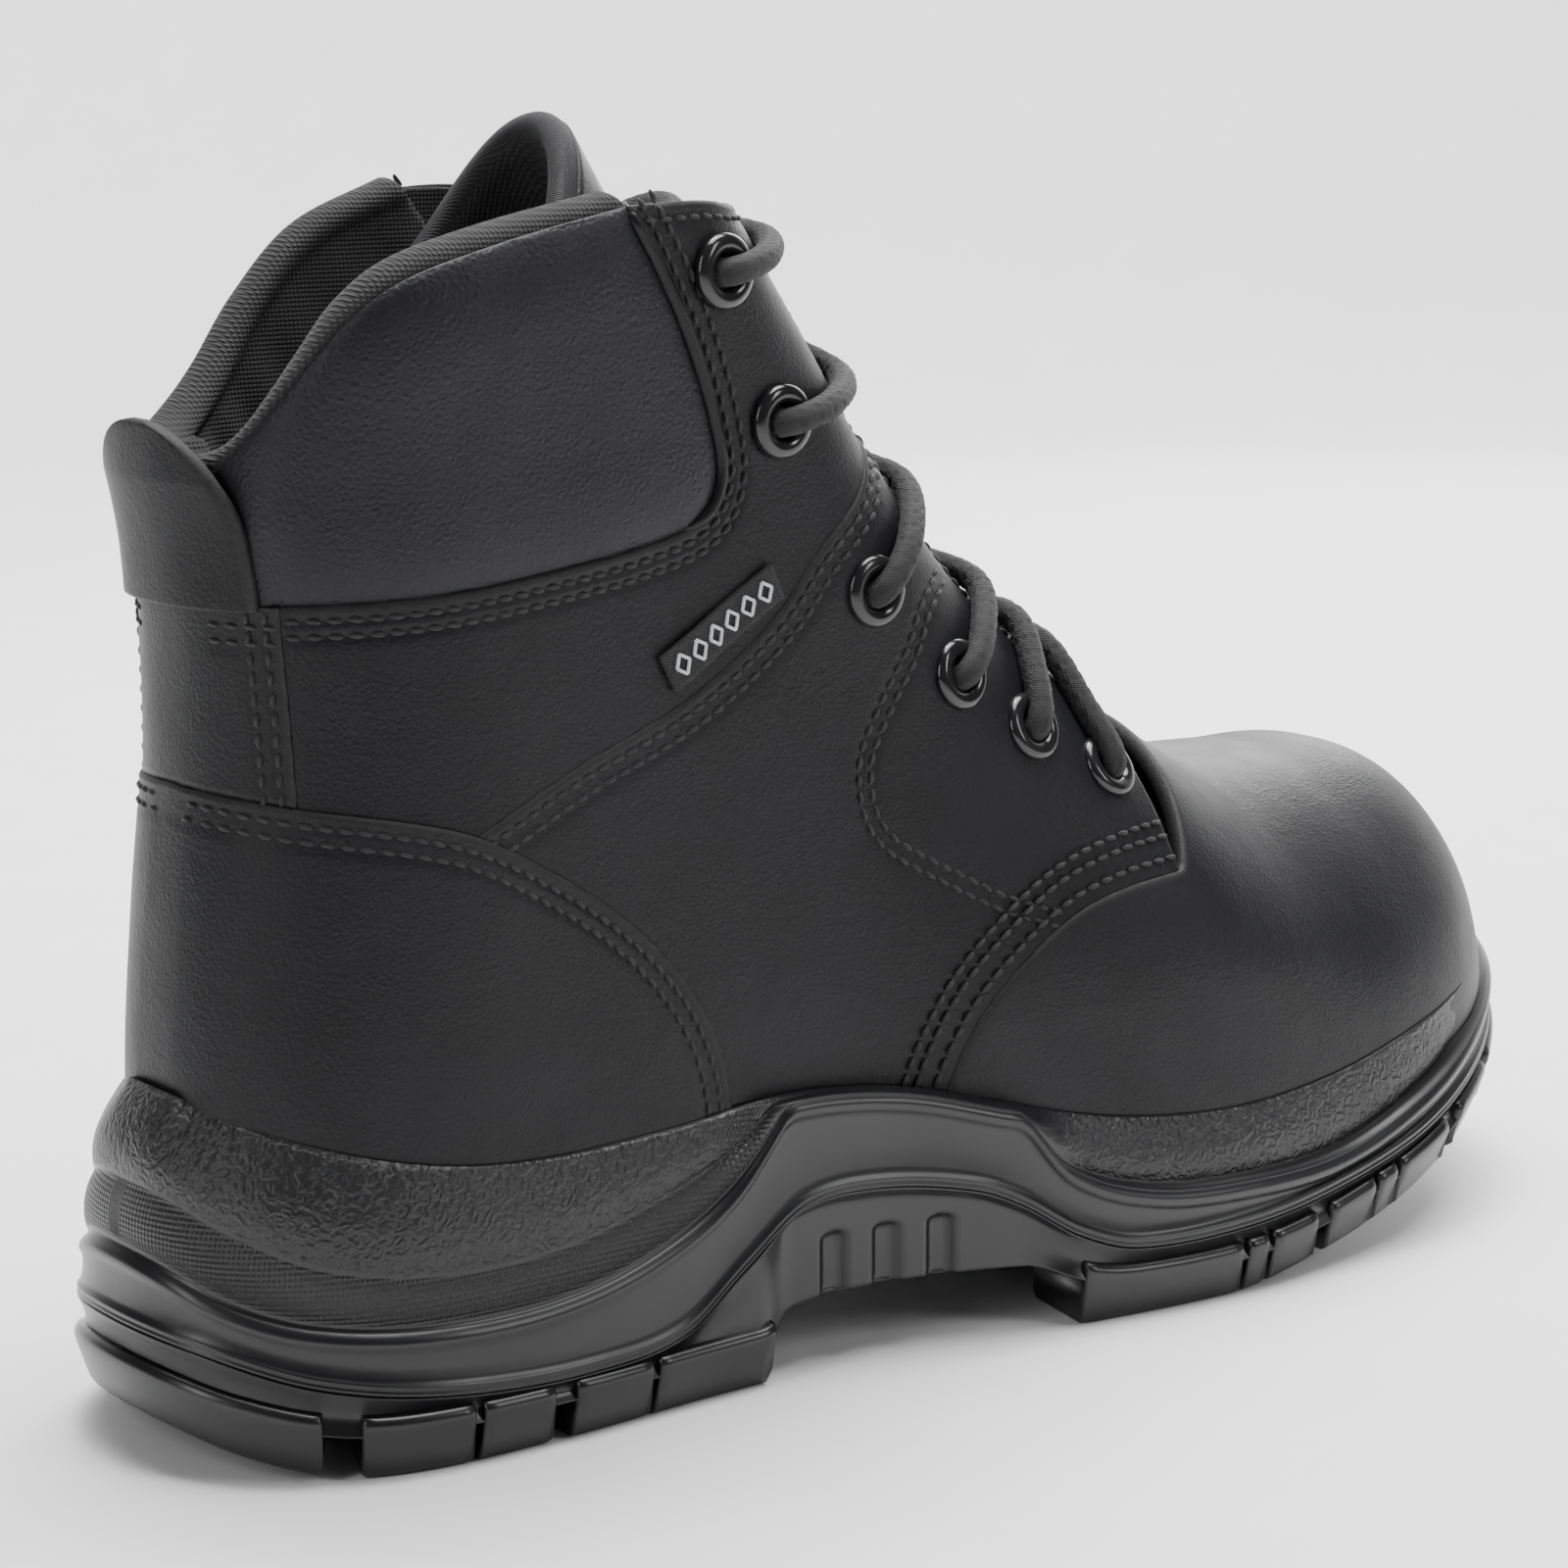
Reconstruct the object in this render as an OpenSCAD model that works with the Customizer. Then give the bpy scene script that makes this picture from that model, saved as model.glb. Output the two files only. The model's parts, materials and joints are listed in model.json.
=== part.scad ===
// Six-inch laced safety boot, right foot: +X is the toe, -Y the outer side, the sole stands on z = 0.

/* [Sole] */
// Rear end of the sole
heel_end = -153; // [-155:1:-151]
// Front end of the sole
toe_end = 153; // [151:1:155]
// Height of the sole's rim at the heel
heel_rim = 47; // [44:1:50]
// Height of the sole's rim at the ball of the foot
ball_rim = 34; // [32:1:37]
// Half width of the sole at the ball, outer side
ball_out = 59; // [56:1:62]
// Half width of the sole at the ball, inner side
ball_in = 53; // [50:1:55]
// Depth of the tread grooves
tread_depth = 7; // [5:0.5:8]
// How deep the upper sits in the sole
tuck = 9; // [8:0.5:10]

/* [Upper] */
// Front end of the leather toe
toe_tip = 147; // [145:1:148]
// Height of the toe box
toe_top = 85; // [82:1:88]
// Half width of the shaft at the ankle
ankle_half = 34; // [32:1:36]
// Half of the gap between the two facings
throat_half = 20; // [17:1:22]
// Thickness of the outer leather
leather = 2; // [1.6:0.1:2.1]
// Thickness of the lining
lining = 1; // [0.8:0.1:1.2]
// Thickness of the collar's foam
collar_pad = 7; // [5:0.5:7]

/* [Protection] */
// Thickness of the steel toecap
toecap_wall = 1.6; // [1.4:0.1:1.7]
// Where the toecap's rear edge lies
toecap_rear = 94; // [90:1:98]
// Thickness of the puncture-resistant plate
plate = 1; // [0.8:0.1:1.2]

/* [Laces and tongue] */
// Diameter of the lace
lace_d = 4.6; // [4:0.1:5]
// Radius of an eyelet's bore
eyelet_bore = 2.9; // [2.8:0.1:3.1]
// Radius of an eyelet's flange
eyelet_flange = 6.3; // [6:0.1:6.6]
// Height of the pull tab above its stitching
tab_height = 29; // [24:1:32]

/* [Hidden] */
LATERAL = -1;
MEDIAL = 1;

// Layers, as depths below the leather's outer face
collar_leather = 1.4;
seam_gap = 0.3;
backer = 0.45;
stiffener_top = leather + seam_gap;
lining_top = stiffener_top + toecap_wall + seam_gap;
backer_top = stiffener_top + 1.35;
pad_top = collar_leather + seam_gap;
collar_lining_top = pad_top + collar_pad + seam_gap;
tongue_top_depth = 10.8;
// Small gaps between stitched panels, as shifts in side view
over_quarter = [-0.45, 0.7];
// Shift of the vamp from its seam with the quarters
ahead_of_quarter = [0.4, -0.25];
inside_collar = [-0.4, 0.4];

// Side-view lines of the upper, [x, z]
ridge_line = [[-84, 262], [-62, 228], [-45, 200], [-31, 180], [-18, 161], [2, 136], [22, 119.5],
    [40, 106], [55, 95], [72, toe_top + 2.5], [95, toe_top], [115, toe_top - 1],
    [130, toe_top - 7], [141, toe_top - 19], [toe_tip, 48]];
// Rear profile, [z, x]
heel_line = [[30, -142], [60, -142], [85, -140], [110, -137.5], [140, -138], [165, -141],
    [185, -145], [240, -150]];
// Half widths of the upper near the sole, [x, width], outer and inner side
outer_line = [[-145, 35], [-106, 35], [-70, 36], [-30, 38], [0, 43], [30, 49], [50, 52],
    [80, 53], [110, 51], [147, 48]];
inner_line = [[-145, 34], [-106, 34], [-70, 32], [-30, 31], [0, 36], [30, 43], [60, 48],
    [90, 47], [147, 44]];
// The foot's middle line, [x, y]
middle_line = [[-150, 0], [-60, 0], [30, 0], [100, 3], [147, 7]];
// The sole, [x, z] at its rim, at the parting line and underneath, then [x, half width]
rim_line = [[heel_end, heel_rim + 14], [-140, heel_rim + 8], [-120, heel_rim + 3],
    [-95, heel_rim], [-70, heel_rim + 0.5], [-45, heel_rim + 2.5], [-25, heel_rim + 0.5],
    [-5, 42], [20, ball_rim + 2], [45, ball_rim], [70, ball_rim + 2], [95, ball_rim + 7],
    [120, ball_rim + 12], [toe_end, ball_rim + 16]];
parting_line = [[heel_end, 23], [-135, 16], [-110, 12], [-88, 11], [-70, 13], [-57, 22],
    [-45, 30], [-30, 31], [-12, 28], [-3, 24], [8, 17], [20, 13], [45, 13], [70, 16],
    [90, 20], [115, 27], [toe_end, 38]];
tread_line = [[heel_end, 8], [-145, 4], [-134, 0.8], [-122, 0], [-54, 0], [-52, 0], [-49, 12],
    [-30, 13], [0, 12], [8, 10], [13, 0], [16, 0], [42, 0], [60, 2.5], [80, 6.5],
    [100, 12], [120, 18.5], [140, 26], [toe_end, 32]];
sole_out = [[heel_end, 38], [-120, 41], [-90, 42.5], [-60, 42], [-30, 44], [0, 51], [25, 56],
    [50, ball_out], [75, ball_out], [100, ball_out - 2], [toe_end, 50]];
sole_in = [[heel_end, 37], [-120, 40], [-90, 40], [-60, 36.5], [-30, 35], [0, 41], [25, 47],
    [50, ball_in - 1], [75, ball_in], [100, ball_in - 1], [toe_end, 48]];
// Cross grooves of the tread, [x, width]
heel_grooves = [[-131.5, 5], [-94, 4.5]];
heel_slits = [[-110, 2.4], [-75, 2.4]];
ball_grooves = [[46, 7], [63, 4], [81, 7], [104, 4.5], [125, 4]];

// Seams of the upper in side view, [x, z], shared by the panels on both of their sides
counter_seam = [[heel_x(108), 108], [-129, 106.3], [-116, 104], [-104, 100.5], [-92, 94],
    [-80, 86], [-70, 77], [-62, 66], [-57.5, 54], [-56, bottom_z(-56)]];
diagonal_seam = [[-104, 100.5], [-86, 109], [-63, 118], [-46, 129], [-36, 140], [-27, 148],
    facing_point(-18.5)];
vamp_seam = [[-15, bottom_z(-15)], [-13, 46], [-6, 58], [4, 67], [14, 73], [25, 76], [37, 77]];
throat_seam = [[37, 77], [41, 85], [45, 93], [48, ridge_z(48)]];
facing_end = [[37, 77], [36.5, 87], [35.5, 96], [33.5, 103], facing_point(29)];
collar_seam = [[-130.5, 138], [-110, 139], [-90, 141], [-72, 143.5], [-60, 147], [-56, 154],
    [-58, 164], [-63, 176], [-69, 187], [-76, 198]];
far_collar_edge = [[heel_x(157), 157], [-134, 158.5], [-124, 162.5], [-115, 169], [-105, 180],
    [-93, 191], [-76, 198]];
collar_edge = [[heel_x(157), 157], [-136.5, 161], [-130, 173], [-124, 182], [-115, 188.5],
    [-98, 193.5], [-76, 198]];
backstay_seam = [[-129, 106.3], [-129.5, 122], [-130.5, 138]];
facing_top = [facing_point(-45), [-53, 197.5], [-62, 198.5], [-76, 198]];

// Eyelets on each side from the top, [x, z]
eyelet_places = [[-57, 187], [-44, 162], [-24, 132], [-5, 115.5], [11, 104.5], [28, 95.5]];

function ease(a, b, x) = let (t = min(max((x - a) / (b - a), 0), 1)) t * t * (3 - 2 * t);
function swell(t, p) = let (c = min(max(t, 0), 1)) pow(1 - pow(1 - c, p), 1 / p);

// Smooth line through points p, read at x
function piece_of(p, x, i = 0) = (i >= len(p) - 2 || x < p[i + 1][0]) ? i : piece_of(p, x, i + 1);
function slope_at(p, i) = let (a = max(i - 1, 0), b = min(i + 1, len(p) - 1))
    (p[b][1] - p[a][1]) / (p[b][0] - p[a][0]);
function curve(p, x) =
    let (q = min(max(x, p[0][0]), p[len(p) - 1][0]), i = piece_of(p, q),
        h = p[i + 1][0] - p[i][0], t = (q - p[i][0]) / h, t2 = t * t, t3 = t2 * t)
    (2 * t3 - 3 * t2 + 1) * p[i][1] + (t3 - 2 * t2 + t) * h * slope_at(p, i)
    + (3 * t2 - 2 * t3) * p[i + 1][1] + (t3 - t2) * h * slope_at(p, i + 1);

// Smooth path through points p, read at t counted in points
function path_at(p, t) =
    let (n = len(p) - 1, i = min(max(floor(t), 0), n - 1), u = t - i, u2 = u * u, u3 = u2 * u,
        a = p[max(i - 1, 0)], b = p[i], c = p[i + 1], d = p[min(i + 2, n)],
        m = (c - a) / (i > 0 ? 2 : 1), k = (d - b) / (i < n - 1 ? 2 : 1))
    (2 * u3 - 3 * u2 + 1) * b + (u3 - 2 * u2 + u) * m + (3 * u2 - 2 * u3) * c + (u3 - u2) * k;
function span(p, a, b, n) = [for (i = [0 : n]) path_at(p, a + (b - a) * i / n)];
function whole(p, n) = span(p, 0, len(p) - 1, n);
function joined(a, b) = concat(a, [for (i = [1 : len(b) - 1]) b[i]]);
function reversed(p) = [for (i = [len(p) - 1 : -1 : 0]) p[i]];

// The upper's outer face: half(x, z, side) is its distance from the foot's middle line
function ridge_z(x) = curve(ridge_line, x);
function heel_x(z) = curve(heel_line, z);
function middle_y(x) = curve(middle_line, x);
function rim_z(x) = curve(rim_line, x);
function bottom_z(x) = rim_z(x) - tuck;
function body_half(x, z, side) =
    let (k = ease(55, 125, z), low = curve(side < 0 ? outer_line : inner_line, x))
    low * (1 - k) + (ankle_half + 3 * ease(150, 200, z)) * k;
function ridge_power(x) = 2.7 - 0.5 * ease(0, 80, x);
function half(x, z, side) =
    body_half(x, z, side) * swell((x - heel_x(z)) / 44, 2.25)
    * swell((ridge_z(x) - z) / 46, ridge_power(x)) * swell((toe_tip - x) / 60, 2.3);

// A point of the upper, q = [x, z, side], at a depth below its outer face
function skin(q, depth = 0) =
    let (x = q[0], z = q[1], s = q[2], h = 0.1, exact = half(x, z, s),
        w = exact < 0.05 ? 0 : exact,
        gx = (half(x + h, z, s) - half(x - h, z, s)) / (2 * h),
        gz = (half(x, z + h, s) - half(x, z - h, s)) / (2 * h),
        n = w == 0 ? [gx, 0, gz] : [gx, -s, gz])
    [x, middle_y(x) + s * w, z] + depth * n / max(norm(n), 0.001);
function skin_normal(q) = let (d = skin(q, -1) - skin(q)) d / norm(d);

// The facing's front edge keeps the throat's half width
function facing_point(x) =
    let (p = ridge_power(x), z = ridge_z(x) - 4, w = body_half(x, z, LATERAL))
    [x, ridge_z(x) - 46 * (1 - pow(1 - pow(throat_half / w, p), 1 / p))];
function facing_edge(a, b, n) = [for (i = [0 : n]) facing_point(a + (b - a) * i / n)];

// A patch between four sides: bottom and top run in u, left and right in v
function at(p, t) = let (n = len(p) - 1, i = min(floor(t * n), n - 1), u = t * n - i)
    p[i] * (1 - u) + p[i + 1] * u;
function patch(bottom, right, top, left, u, v) =
    (1 - v) * at(bottom, u) + v * at(top, u) + (1 - u) * at(left, v) + u * at(right, v)
    - (1 - u) * (1 - v) * bottom[0] - u * (1 - v) * bottom[len(bottom) - 1]
    - (1 - u) * v * top[0] - u * v * top[len(top) - 1];
function with_side(p, side) = [p[0], p[1], side];
EVEN = 0;
TIGHT_START = 1;
TIGHT_END = 2;
function spaced(t, mode) = mode == TIGHT_START ? 1 - cos(90 * t) : mode == TIGHT_END ? sin(90 * t) : t;
// Rows of points across one side of the boot, in nu by nv steps
function grid(b, r, t, l, nu, nv, side, mode_u = EVEN, mode_v = EVEN) =
    [for (i = [0 : nu]) [for (j = [0 : nv])
        with_side(patch(b, r, t, l, spaced(i / nu, mode_u), spaced(j / nv, mode_v)), side)]];
function other_side(g) = [for (row = g) [for (q = row) [q[0], q[1], -q[2]]]];
// Both sides as one, meeting in each row's last point
function over_top(g) = let (m = other_side(g))
    [for (i = [0 : len(g) - 1]) joined(g[i], reversed(m[i]))];
// Both sides as one, meeting in the first row
function round_back(g) = let (m = other_side(g)) joined(reversed(g), m);
function layer(g, depth) = [for (row = g) [for (q = row) skin(q, depth)]];

// A closed sheet between two equal grids of points. A folded sheet's last row meets itself.
module sheet(a, b, folded = false) {
    rows = len(a);
    cols = len(a[0]);
    n = rows * cols;
    quads = concat(
        [for (i = [0 : rows - 2]) for (j = [0 : cols - 2])
            [i * cols + j, i * cols + j + 1, (i + 1) * cols + j + 1, (i + 1) * cols + j]],
        [for (i = [0 : rows - 2]) for (j = [0 : cols - 2])
            [n + i * cols + j, n + (i + 1) * cols + j, n + (i + 1) * cols + j + 1,
            n + i * cols + j + 1]],
        [for (i = [0 : rows - 2]) [i * cols, (i + 1) * cols, n + (i + 1) * cols, n + i * cols]],
        [for (i = [0 : rows - 2]) let (e = cols - 1)
            [i * cols + e, n + i * cols + e, n + (i + 1) * cols + e, (i + 1) * cols + e]],
        [for (j = [0 : cols - 2]) [j, n + j, n + j + 1, j + 1]],
        [for (j = [0 : folded ? -1 : cols - 2]) let (e = (rows - 1) * cols)
            [e + j, e + j + 1, n + e + j + 1, n + e + j]]);
    polyhedron(
        points = concat([for (row = a) each row], [for (row = b) each row]),
        faces = [for (f = quads) each [[f[0], f[1], f[2]], [f[0], f[2], f[3]]]]);
}
// A sheet of the upper with its two faces at these depths
module shell(g, outer, inner) {
    if (g[0][0][2] < 0)
        sheet(layer(g, inner), layer(g, outer));
    else
        sheet(layer(g, outer), layer(g, inner));
}
module two_sided(g, outer, inner, folded = false) {
    sheet(layer(g, outer), layer(g, inner), folded);
}

// A solid from closed rings of 2n points, paired left and right, closed at both ends
module stacked(rings) {
    k = len(rings[0]);
    n = k / 2;
    last = (len(rings) - 1) * k;
    sides = [for (r = [0 : len(rings) - 2]) for (i = [0 : k - 1]) let (j = (i + 1) % k)
        [r * k + i, r * k + j, (r + 1) * k + j, (r + 1) * k + i]];
    ladder = [for (i = [0 : n - 2]) [i, k - 1 - i, k - 2 - i, i + 1]];
    ends = concat(ladder, [for (f = ladder) [last + f[3], last + f[2], last + f[1], last + f[0]]]);
    quads = concat(sides, ends);
    polyhedron(
        points = [for (r = rings) each r],
        faces = [for (f = quads) each [[f[0], f[1], f[2]], [f[0], f[2], f[3]]]]);
}

// Plan outline of the sole
function sole_half(x, side) = curve(side < 0 ? sole_out : sole_in, x)
    * swell((x - heel_end) / 46, 2.3) * swell((toe_end - x) / 68, 2.2);
SOLE_STEPS = 32;
function spread(a, b, n) = [for (i = [0 : n - 1]) a + (b - a) * (1 - cos(180 * (i + 0.4) / (n - 0.2))) / 2];
sole_stations = spread(heel_end, toe_end, SOLE_STEPS);
function sole_ring(inset, line, lift) = let (s = sole_stations)
    concat(
        [for (x = s) [x * (1 - inset / 153), middle_y(x) - max(sole_half(x, LATERAL) - inset, 0.5),
            curve(line, x) + lift]],
        [for (x = reversed(s)) [x * (1 - inset / 153), middle_y(x) + max(sole_half(x, MEDIAL) - inset, 0.5),
            curve(line, x) + lift]]);
// Ring round the upper at a depth, at a height below the rim
function upper_ring(depth, drop) =
    let (s = spread(heel_x(45) - 0.2 + depth, toe_tip + 0.2 - depth, SOLE_STEPS))
    concat(
        [for (x = s) slot_point(x, depth, drop, LATERAL)],
        [for (x = reversed(s)) slot_point(x, depth, drop, MEDIAL)]);
function slot_point(x, depth, drop, side) =
    let (z = rim_z(x) - drop, a = heel_x(45), f = (x - a) / (toe_tip - a),
        q = min(max(x, heel_x(z) + 0.8), toe_tip - 0.8))
    [x, middle_y(x) + side * max(half(q, z, side) * (abs(x - q) > 0 ? 0.6 : 1) - depth, 0.5), z];

// Flat layers inside the sole, between two drops below the rim
module insole_layer(depth, drop_top, drop_bottom, front = toe_tip) {
    a = heel_x(45) + depth + 1.5;
    b = front - depth - 1.5;
    n = 20;
    stations = [for (i = [0 : n]) a + (b - a) * (1 - cos(180 * i / n)) / 2];
    function row(x, drop) = [for (v = [-1 : 0.5 : 1]) let (s = v < 0 ? -1 : 1)
        [x, middle_y(x) + v * max(half(x, rim_z(x) - tuck, s) - depth, 2), rim_z(x) - drop]];
    sheet([for (x = stations) row(x, drop_top)], [for (x = stations) row(x, drop_bottom)]);
}

// Panels as grids
function bottom_edge(a, b, n) = [for (i = [0 : n]) let (x = a + (b - a) * i / n) [x, bottom_z(x)]];
function toe_ridge(a, b, n) = [for (i = [0 : n]) let (x = a + (b - a) * i / n) [x, ridge_z(x)]];
function vamp_grid(nu, nv) =
    grid(bottom_edge(-14.6, toe_tip, 12), [[toe_tip, bottom_z(toe_tip)], [toe_tip, 48]],
        toe_ridge(48, toe_tip, 24),
        joined(moved(whole(vamp_seam, 9), ahead_of_quarter), whole(throat_seam, 4)),
        nu, nv, LATERAL, TIGHT_END, TIGHT_END);
function upright(x) = [[x, bottom_z(x)], [x, ridge_z(x)]];
function toe_grid(a, b, nu, nv) =
    grid(bottom_edge(a, b, 6), upright(b), toe_ridge(a, b, 16), upright(a), nu, nv, LATERAL,
        b == toe_tip ? TIGHT_END : EVEN, TIGHT_END);
function heel_ridge(low, high, n) = [for (i = [0 : n]) let (z = low + (high - low) * i / n) [heel_x(z), z]];
function counter_grid(nu, nv) =
    grid(bottom_edge(heel_x(45), -56, 8), reversed(span(counter_seam, 5, 9, 8)),
        span(counter_seam, 0, 5, 8), heel_ridge(bottom_z(heel_x(45)), 108, 8),
        nu, nv, LATERAL, TIGHT_START);
function quarter_grid(side, nu, nv) =
    grid(bottom_edge(-56, -15, 6), whole(vamp_seam, 10),
        joined(joined(whole(diagonal_seam, 10), facing_edge(-18.5, 29, 8)),
            reversed(whole(facing_end, 4))),
        reversed(span(counter_seam, 3, 9, 10)), nu, nv, side);
function moved(p, shift) = [for (q = p) q + shift];
function ankle_grid(side, left, first, nu, nv) =
    grid(joined(span(counter_seam, first, 3, 5), moved(whole(diagonal_seam, 10), over_quarter)),
        concat(moved([facing_point(-18.5)], over_quarter), facing_edge(-19.5, -45, 8),
            [for (i = [1 : 4]) path_at(facing_top, 0.75 * i)]),
        joined(joined([left[len(left) - 1]], whole(collar_seam, 14)), [collar_seam[9]]),
        left, nu, nv, side);
function collar_grid(side, nu, nv) = let (front = moved(span(collar_seam, 4, 9, 8), inside_collar))
    let (back = [[heel_x(138.4), 138.4]],
        top = span(side == MEDIAL ? far_collar_edge : collar_edge, 0, 5.8, 9))
    grid(concat(back, moved(span(collar_seam, 0.15, 4, 8), inside_collar)), front,
        concat(top, [front[8]]), heel_ridge(138.4, 157, 4), nu, nv, side, TIGHT_START);
function backstay_grid() =
    grid(span(counter_seam, 0, 1, 4), whole(backstay_seam, 6), [[heel_x(138), 138], [-130.5, 138]],
        heel_ridge(108, 138, 6), 5, 4, LATERAL, TIGHT_START);
function backer_grid(side) =
    let (a = facing_edge(-43, 25, 14), low = moved(a, [-17, -12]), top = moved(a, [-2.2, -3]))
    grid(low, [low[14], top[14]], top, [low[0], top[0]], 16, 5, side);

// A straight hole through the upper at every eyelet in the list
module eyelet_holes(side, list, r) {
    for (i = list)
        on_skin(with_side(eyelet_places[i], side)) cylinder(h = 30, r = r, center = true, $fn = 32);
}
module on_skin(q) {
    n = skin_normal(q);
    translate(skin(q)) rotate([0, acos(n[2]), atan2(n[1], n[0])]) children();
}
eyelet_hole = eyelet_bore + 1;
washer = eyelet_bore + 2.4;
washer_hole = washer + 0.5;
high_eyelets = [0, 1];
low_eyelets = [2, 3, 4, 5];

black_leather = [0.07, 0.07, 0.08];

module outsole() {
    color([0.05, 0.05, 0.055]) difference() {
        intersection() {
            rotate([90, 0, 0]) linear_extrude(height = 140, center = true) polygon(concat(
                [for (x = sole_stations) [x, curve(tread_line, x)]],
                [for (x = reversed(sole_stations)) [x, curve(parting_line, x) - 0.3]]));
            linear_extrude(height = 60) polygon([for (p = sole_ring(0.6, parting_line, 0)) [p[0], p[1]]]);
        }
        tread_cuts();
    }
}
// Grooves across the tread and the channel between the edge blocks and the middle
module tread_cuts() {
    for (g = concat(heel_grooves, heel_slits, ball_grooves)) {
        for (s = [-1, 1])
            groove(g[0], g[1], s);
    }
    for (x = [-118, -84]) inner_bar(x, 15);
    for (x = [28, 54, 72, 92]) inner_bar(x, 24);
}
module groove(x, w, s) {
    translate([x, middle_y(x) + s * 44, curve(tread_line, x) - 1])
        rotate([0, 0, s * 8]) translate([-w / 2, -18, -20]) cube([w, 44, 20 + tread_depth]);
}
module inner_bar(x, reach) {
    translate([x, middle_y(x), curve(tread_line, x) - 1])
        translate([-2, -reach, -20]) cube([4, 2 * reach, 20 + tread_depth]);
}

module midsole() {
    color([0.06, 0.06, 0.065]) stacked([
        upper_ring(-1.1, tuck + plate + 3.6),
        upper_ring(-1.1, 0),
        sole_ring(2.2, rim_line, -0.4),
        sole_ring(0.4, rim_line, -3),
        sole_ring(0, rim_line, -8),
        sole_ring(0.5, parting_line, 0)]);
}
module puncture_plate() {
    color([0.75, 0.73, 0.62]) insole_layer(leather + 5.5, tuck + 2.8, tuck + 2.8 + plate);
}
module insole_board() {
    color([0.8, 0.78, 0.72]) insole_layer(leather + 3.4, tuck + 0.3, tuck + 2.3);
}
module footbed() {
    color([0.16, 0.16, 0.18]) insole_layer(leather + 9.8, tuck - 5, tuck - 0.1, toe_tip - 1);
}
module steel_toecap() {
    color([0.6, 0.62, 0.65]) two_sided(over_top(toe_grid(toecap_rear, toe_tip, 9, 8)),
        stiffener_top, stiffener_top + toecap_wall, true);
}
module toecap_edging() {
    color([0.3, 0.3, 0.32]) two_sided(over_top(toe_grid(toecap_rear - 8, toecap_rear - 0.2, 1, 8)),
        stiffener_top, stiffener_top + toecap_wall);
}
module heel_stiffener() {
    back = heel_ridge(50, 98, 6);
    g = grid([back[0], [-80, 42]], [[-80, 42], [-86, 84]],
        [back[6], [-115, 96], [-86, 84]], back, 9, 5, LATERAL, TIGHT_START);
    color([0.85, 0.83, 0.78]) two_sided(round_back(g), stiffener_top, stiffener_top + 1.4);
}
module vamp() {
    color(black_leather) two_sided(over_top(vamp_grid(16, 9)), 0, leather, true);
}
module quarter(side) {
    color(black_leather) difference() {
        shell(quarter_grid(side, 14, 8), 0, leather);
        eyelet_holes(side, low_eyelets, eyelet_hole);
        rotate([90, 0, 0]) linear_extrude(height = 200, center = true)
            polygon([[25, 74.5], [39, 74.5], [39, 84.5]]);
    }
}
module quarter_lateral() quarter(LATERAL);
module quarter_medial() quarter(MEDIAL);
module ankle_panel(side) {
    color(black_leather) difference() {
        shell(ankle_grid(side, whole(backstay_seam, 5), 1, 15, 7), 0, leather);
        eyelet_holes(side, high_eyelets, eyelet_hole);
    }
}
module ankle_panel_lateral() ankle_panel(LATERAL);
module ankle_panel_medial() ankle_panel(MEDIAL);
module heel_counter() {
    color(black_leather) two_sided(round_back(counter_grid(10, 6)), 0, leather);
}
module backstay() {
    color(black_leather) two_sided(round_back(backstay_grid()), 0, leather);
}
// The strap of leather above the backstay's stitching, upright behind the collar
function tab_point(v, w, t) =
    let (z = 138.6 + tab_height * v, half_w = 18 - 8 * pow(max(v - 0.5, 0) / 0.5, 2.5),
        y = half_w * w, out = 1.6 + 0.8 * v * v + t)
    [heel_x(min(z, 157)) - out + y * y / 52, y, z];
module pull_tab() {
    rows = [for (i = [0 : 8]) i / 8];
    cols = [for (j = [-5 : 5]) j / 5];
    color(black_leather) sheet(
        [for (v = rows) [for (w = cols) tab_point(v, w, 2.2)]],
        [for (v = rows) [for (w = cols) tab_point(v, w, 0)]]);
}
module collar_panel_lateral() {
    color([0.09, 0.09, 0.1]) shell(collar_grid(LATERAL, 11, 5), 0, collar_leather);
}
module collar_panel_medial() {
    color([0.09, 0.09, 0.1]) shell(collar_grid(MEDIAL, 11, 5), 0, collar_leather);
}
module collar_piping() {
    route = span(collar_seam, 4.6, 9, 14);
    color([0.03, 0.03, 0.03]) for (s = [LATERAL, MEDIAL])
        tube([for (p = route) skin([p[0], p[1], s], -1.3)], 1.1, 8);
}
module collar_foam() {
    color([0.7, 0.65, 0.4]) for (s = [LATERAL, MEDIAL])
        shell(collar_grid(s, 9, 4), pad_top, pad_top + collar_pad);
}
module collar_lining() {
    color([0.12, 0.12, 0.13]) for (s = [LATERAL, MEDIAL])
        shell(collar_grid(s, 9, 4), collar_lining_top, collar_lining_top + lining);
}
module lining_vamp() {
    color([0.14, 0.14, 0.15])
        two_sided(over_top(vamp_grid(11, 6)), lining_top, lining_top + lining, true);
}
module lining_quarter(side) {
    color([0.14, 0.14, 0.15]) difference() {
        shell(quarter_grid(side, 10, 6), lining_top, lining_top + lining);
        eyelet_holes(side, low_eyelets, washer_hole);
    }
}
module lining_quarter_lateral() lining_quarter(LATERAL);
module lining_quarter_medial() lining_quarter(MEDIAL);
module lining_ankle(side) {
    color([0.14, 0.14, 0.15]) difference() {
        shell(ankle_grid(side, heel_ridge(108, 138, 4), 0, 12, 5), lining_top, lining_top + lining);
        eyelet_holes(side, high_eyelets, washer_hole);
    }
}
module lining_ankle_lateral() lining_ankle(LATERAL);
module lining_ankle_medial() lining_ankle(MEDIAL);
module lining_heel() {
    color([0.14, 0.14, 0.15])
        two_sided(round_back(counter_grid(8, 5)), lining_top, lining_top + lining);
}
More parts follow.
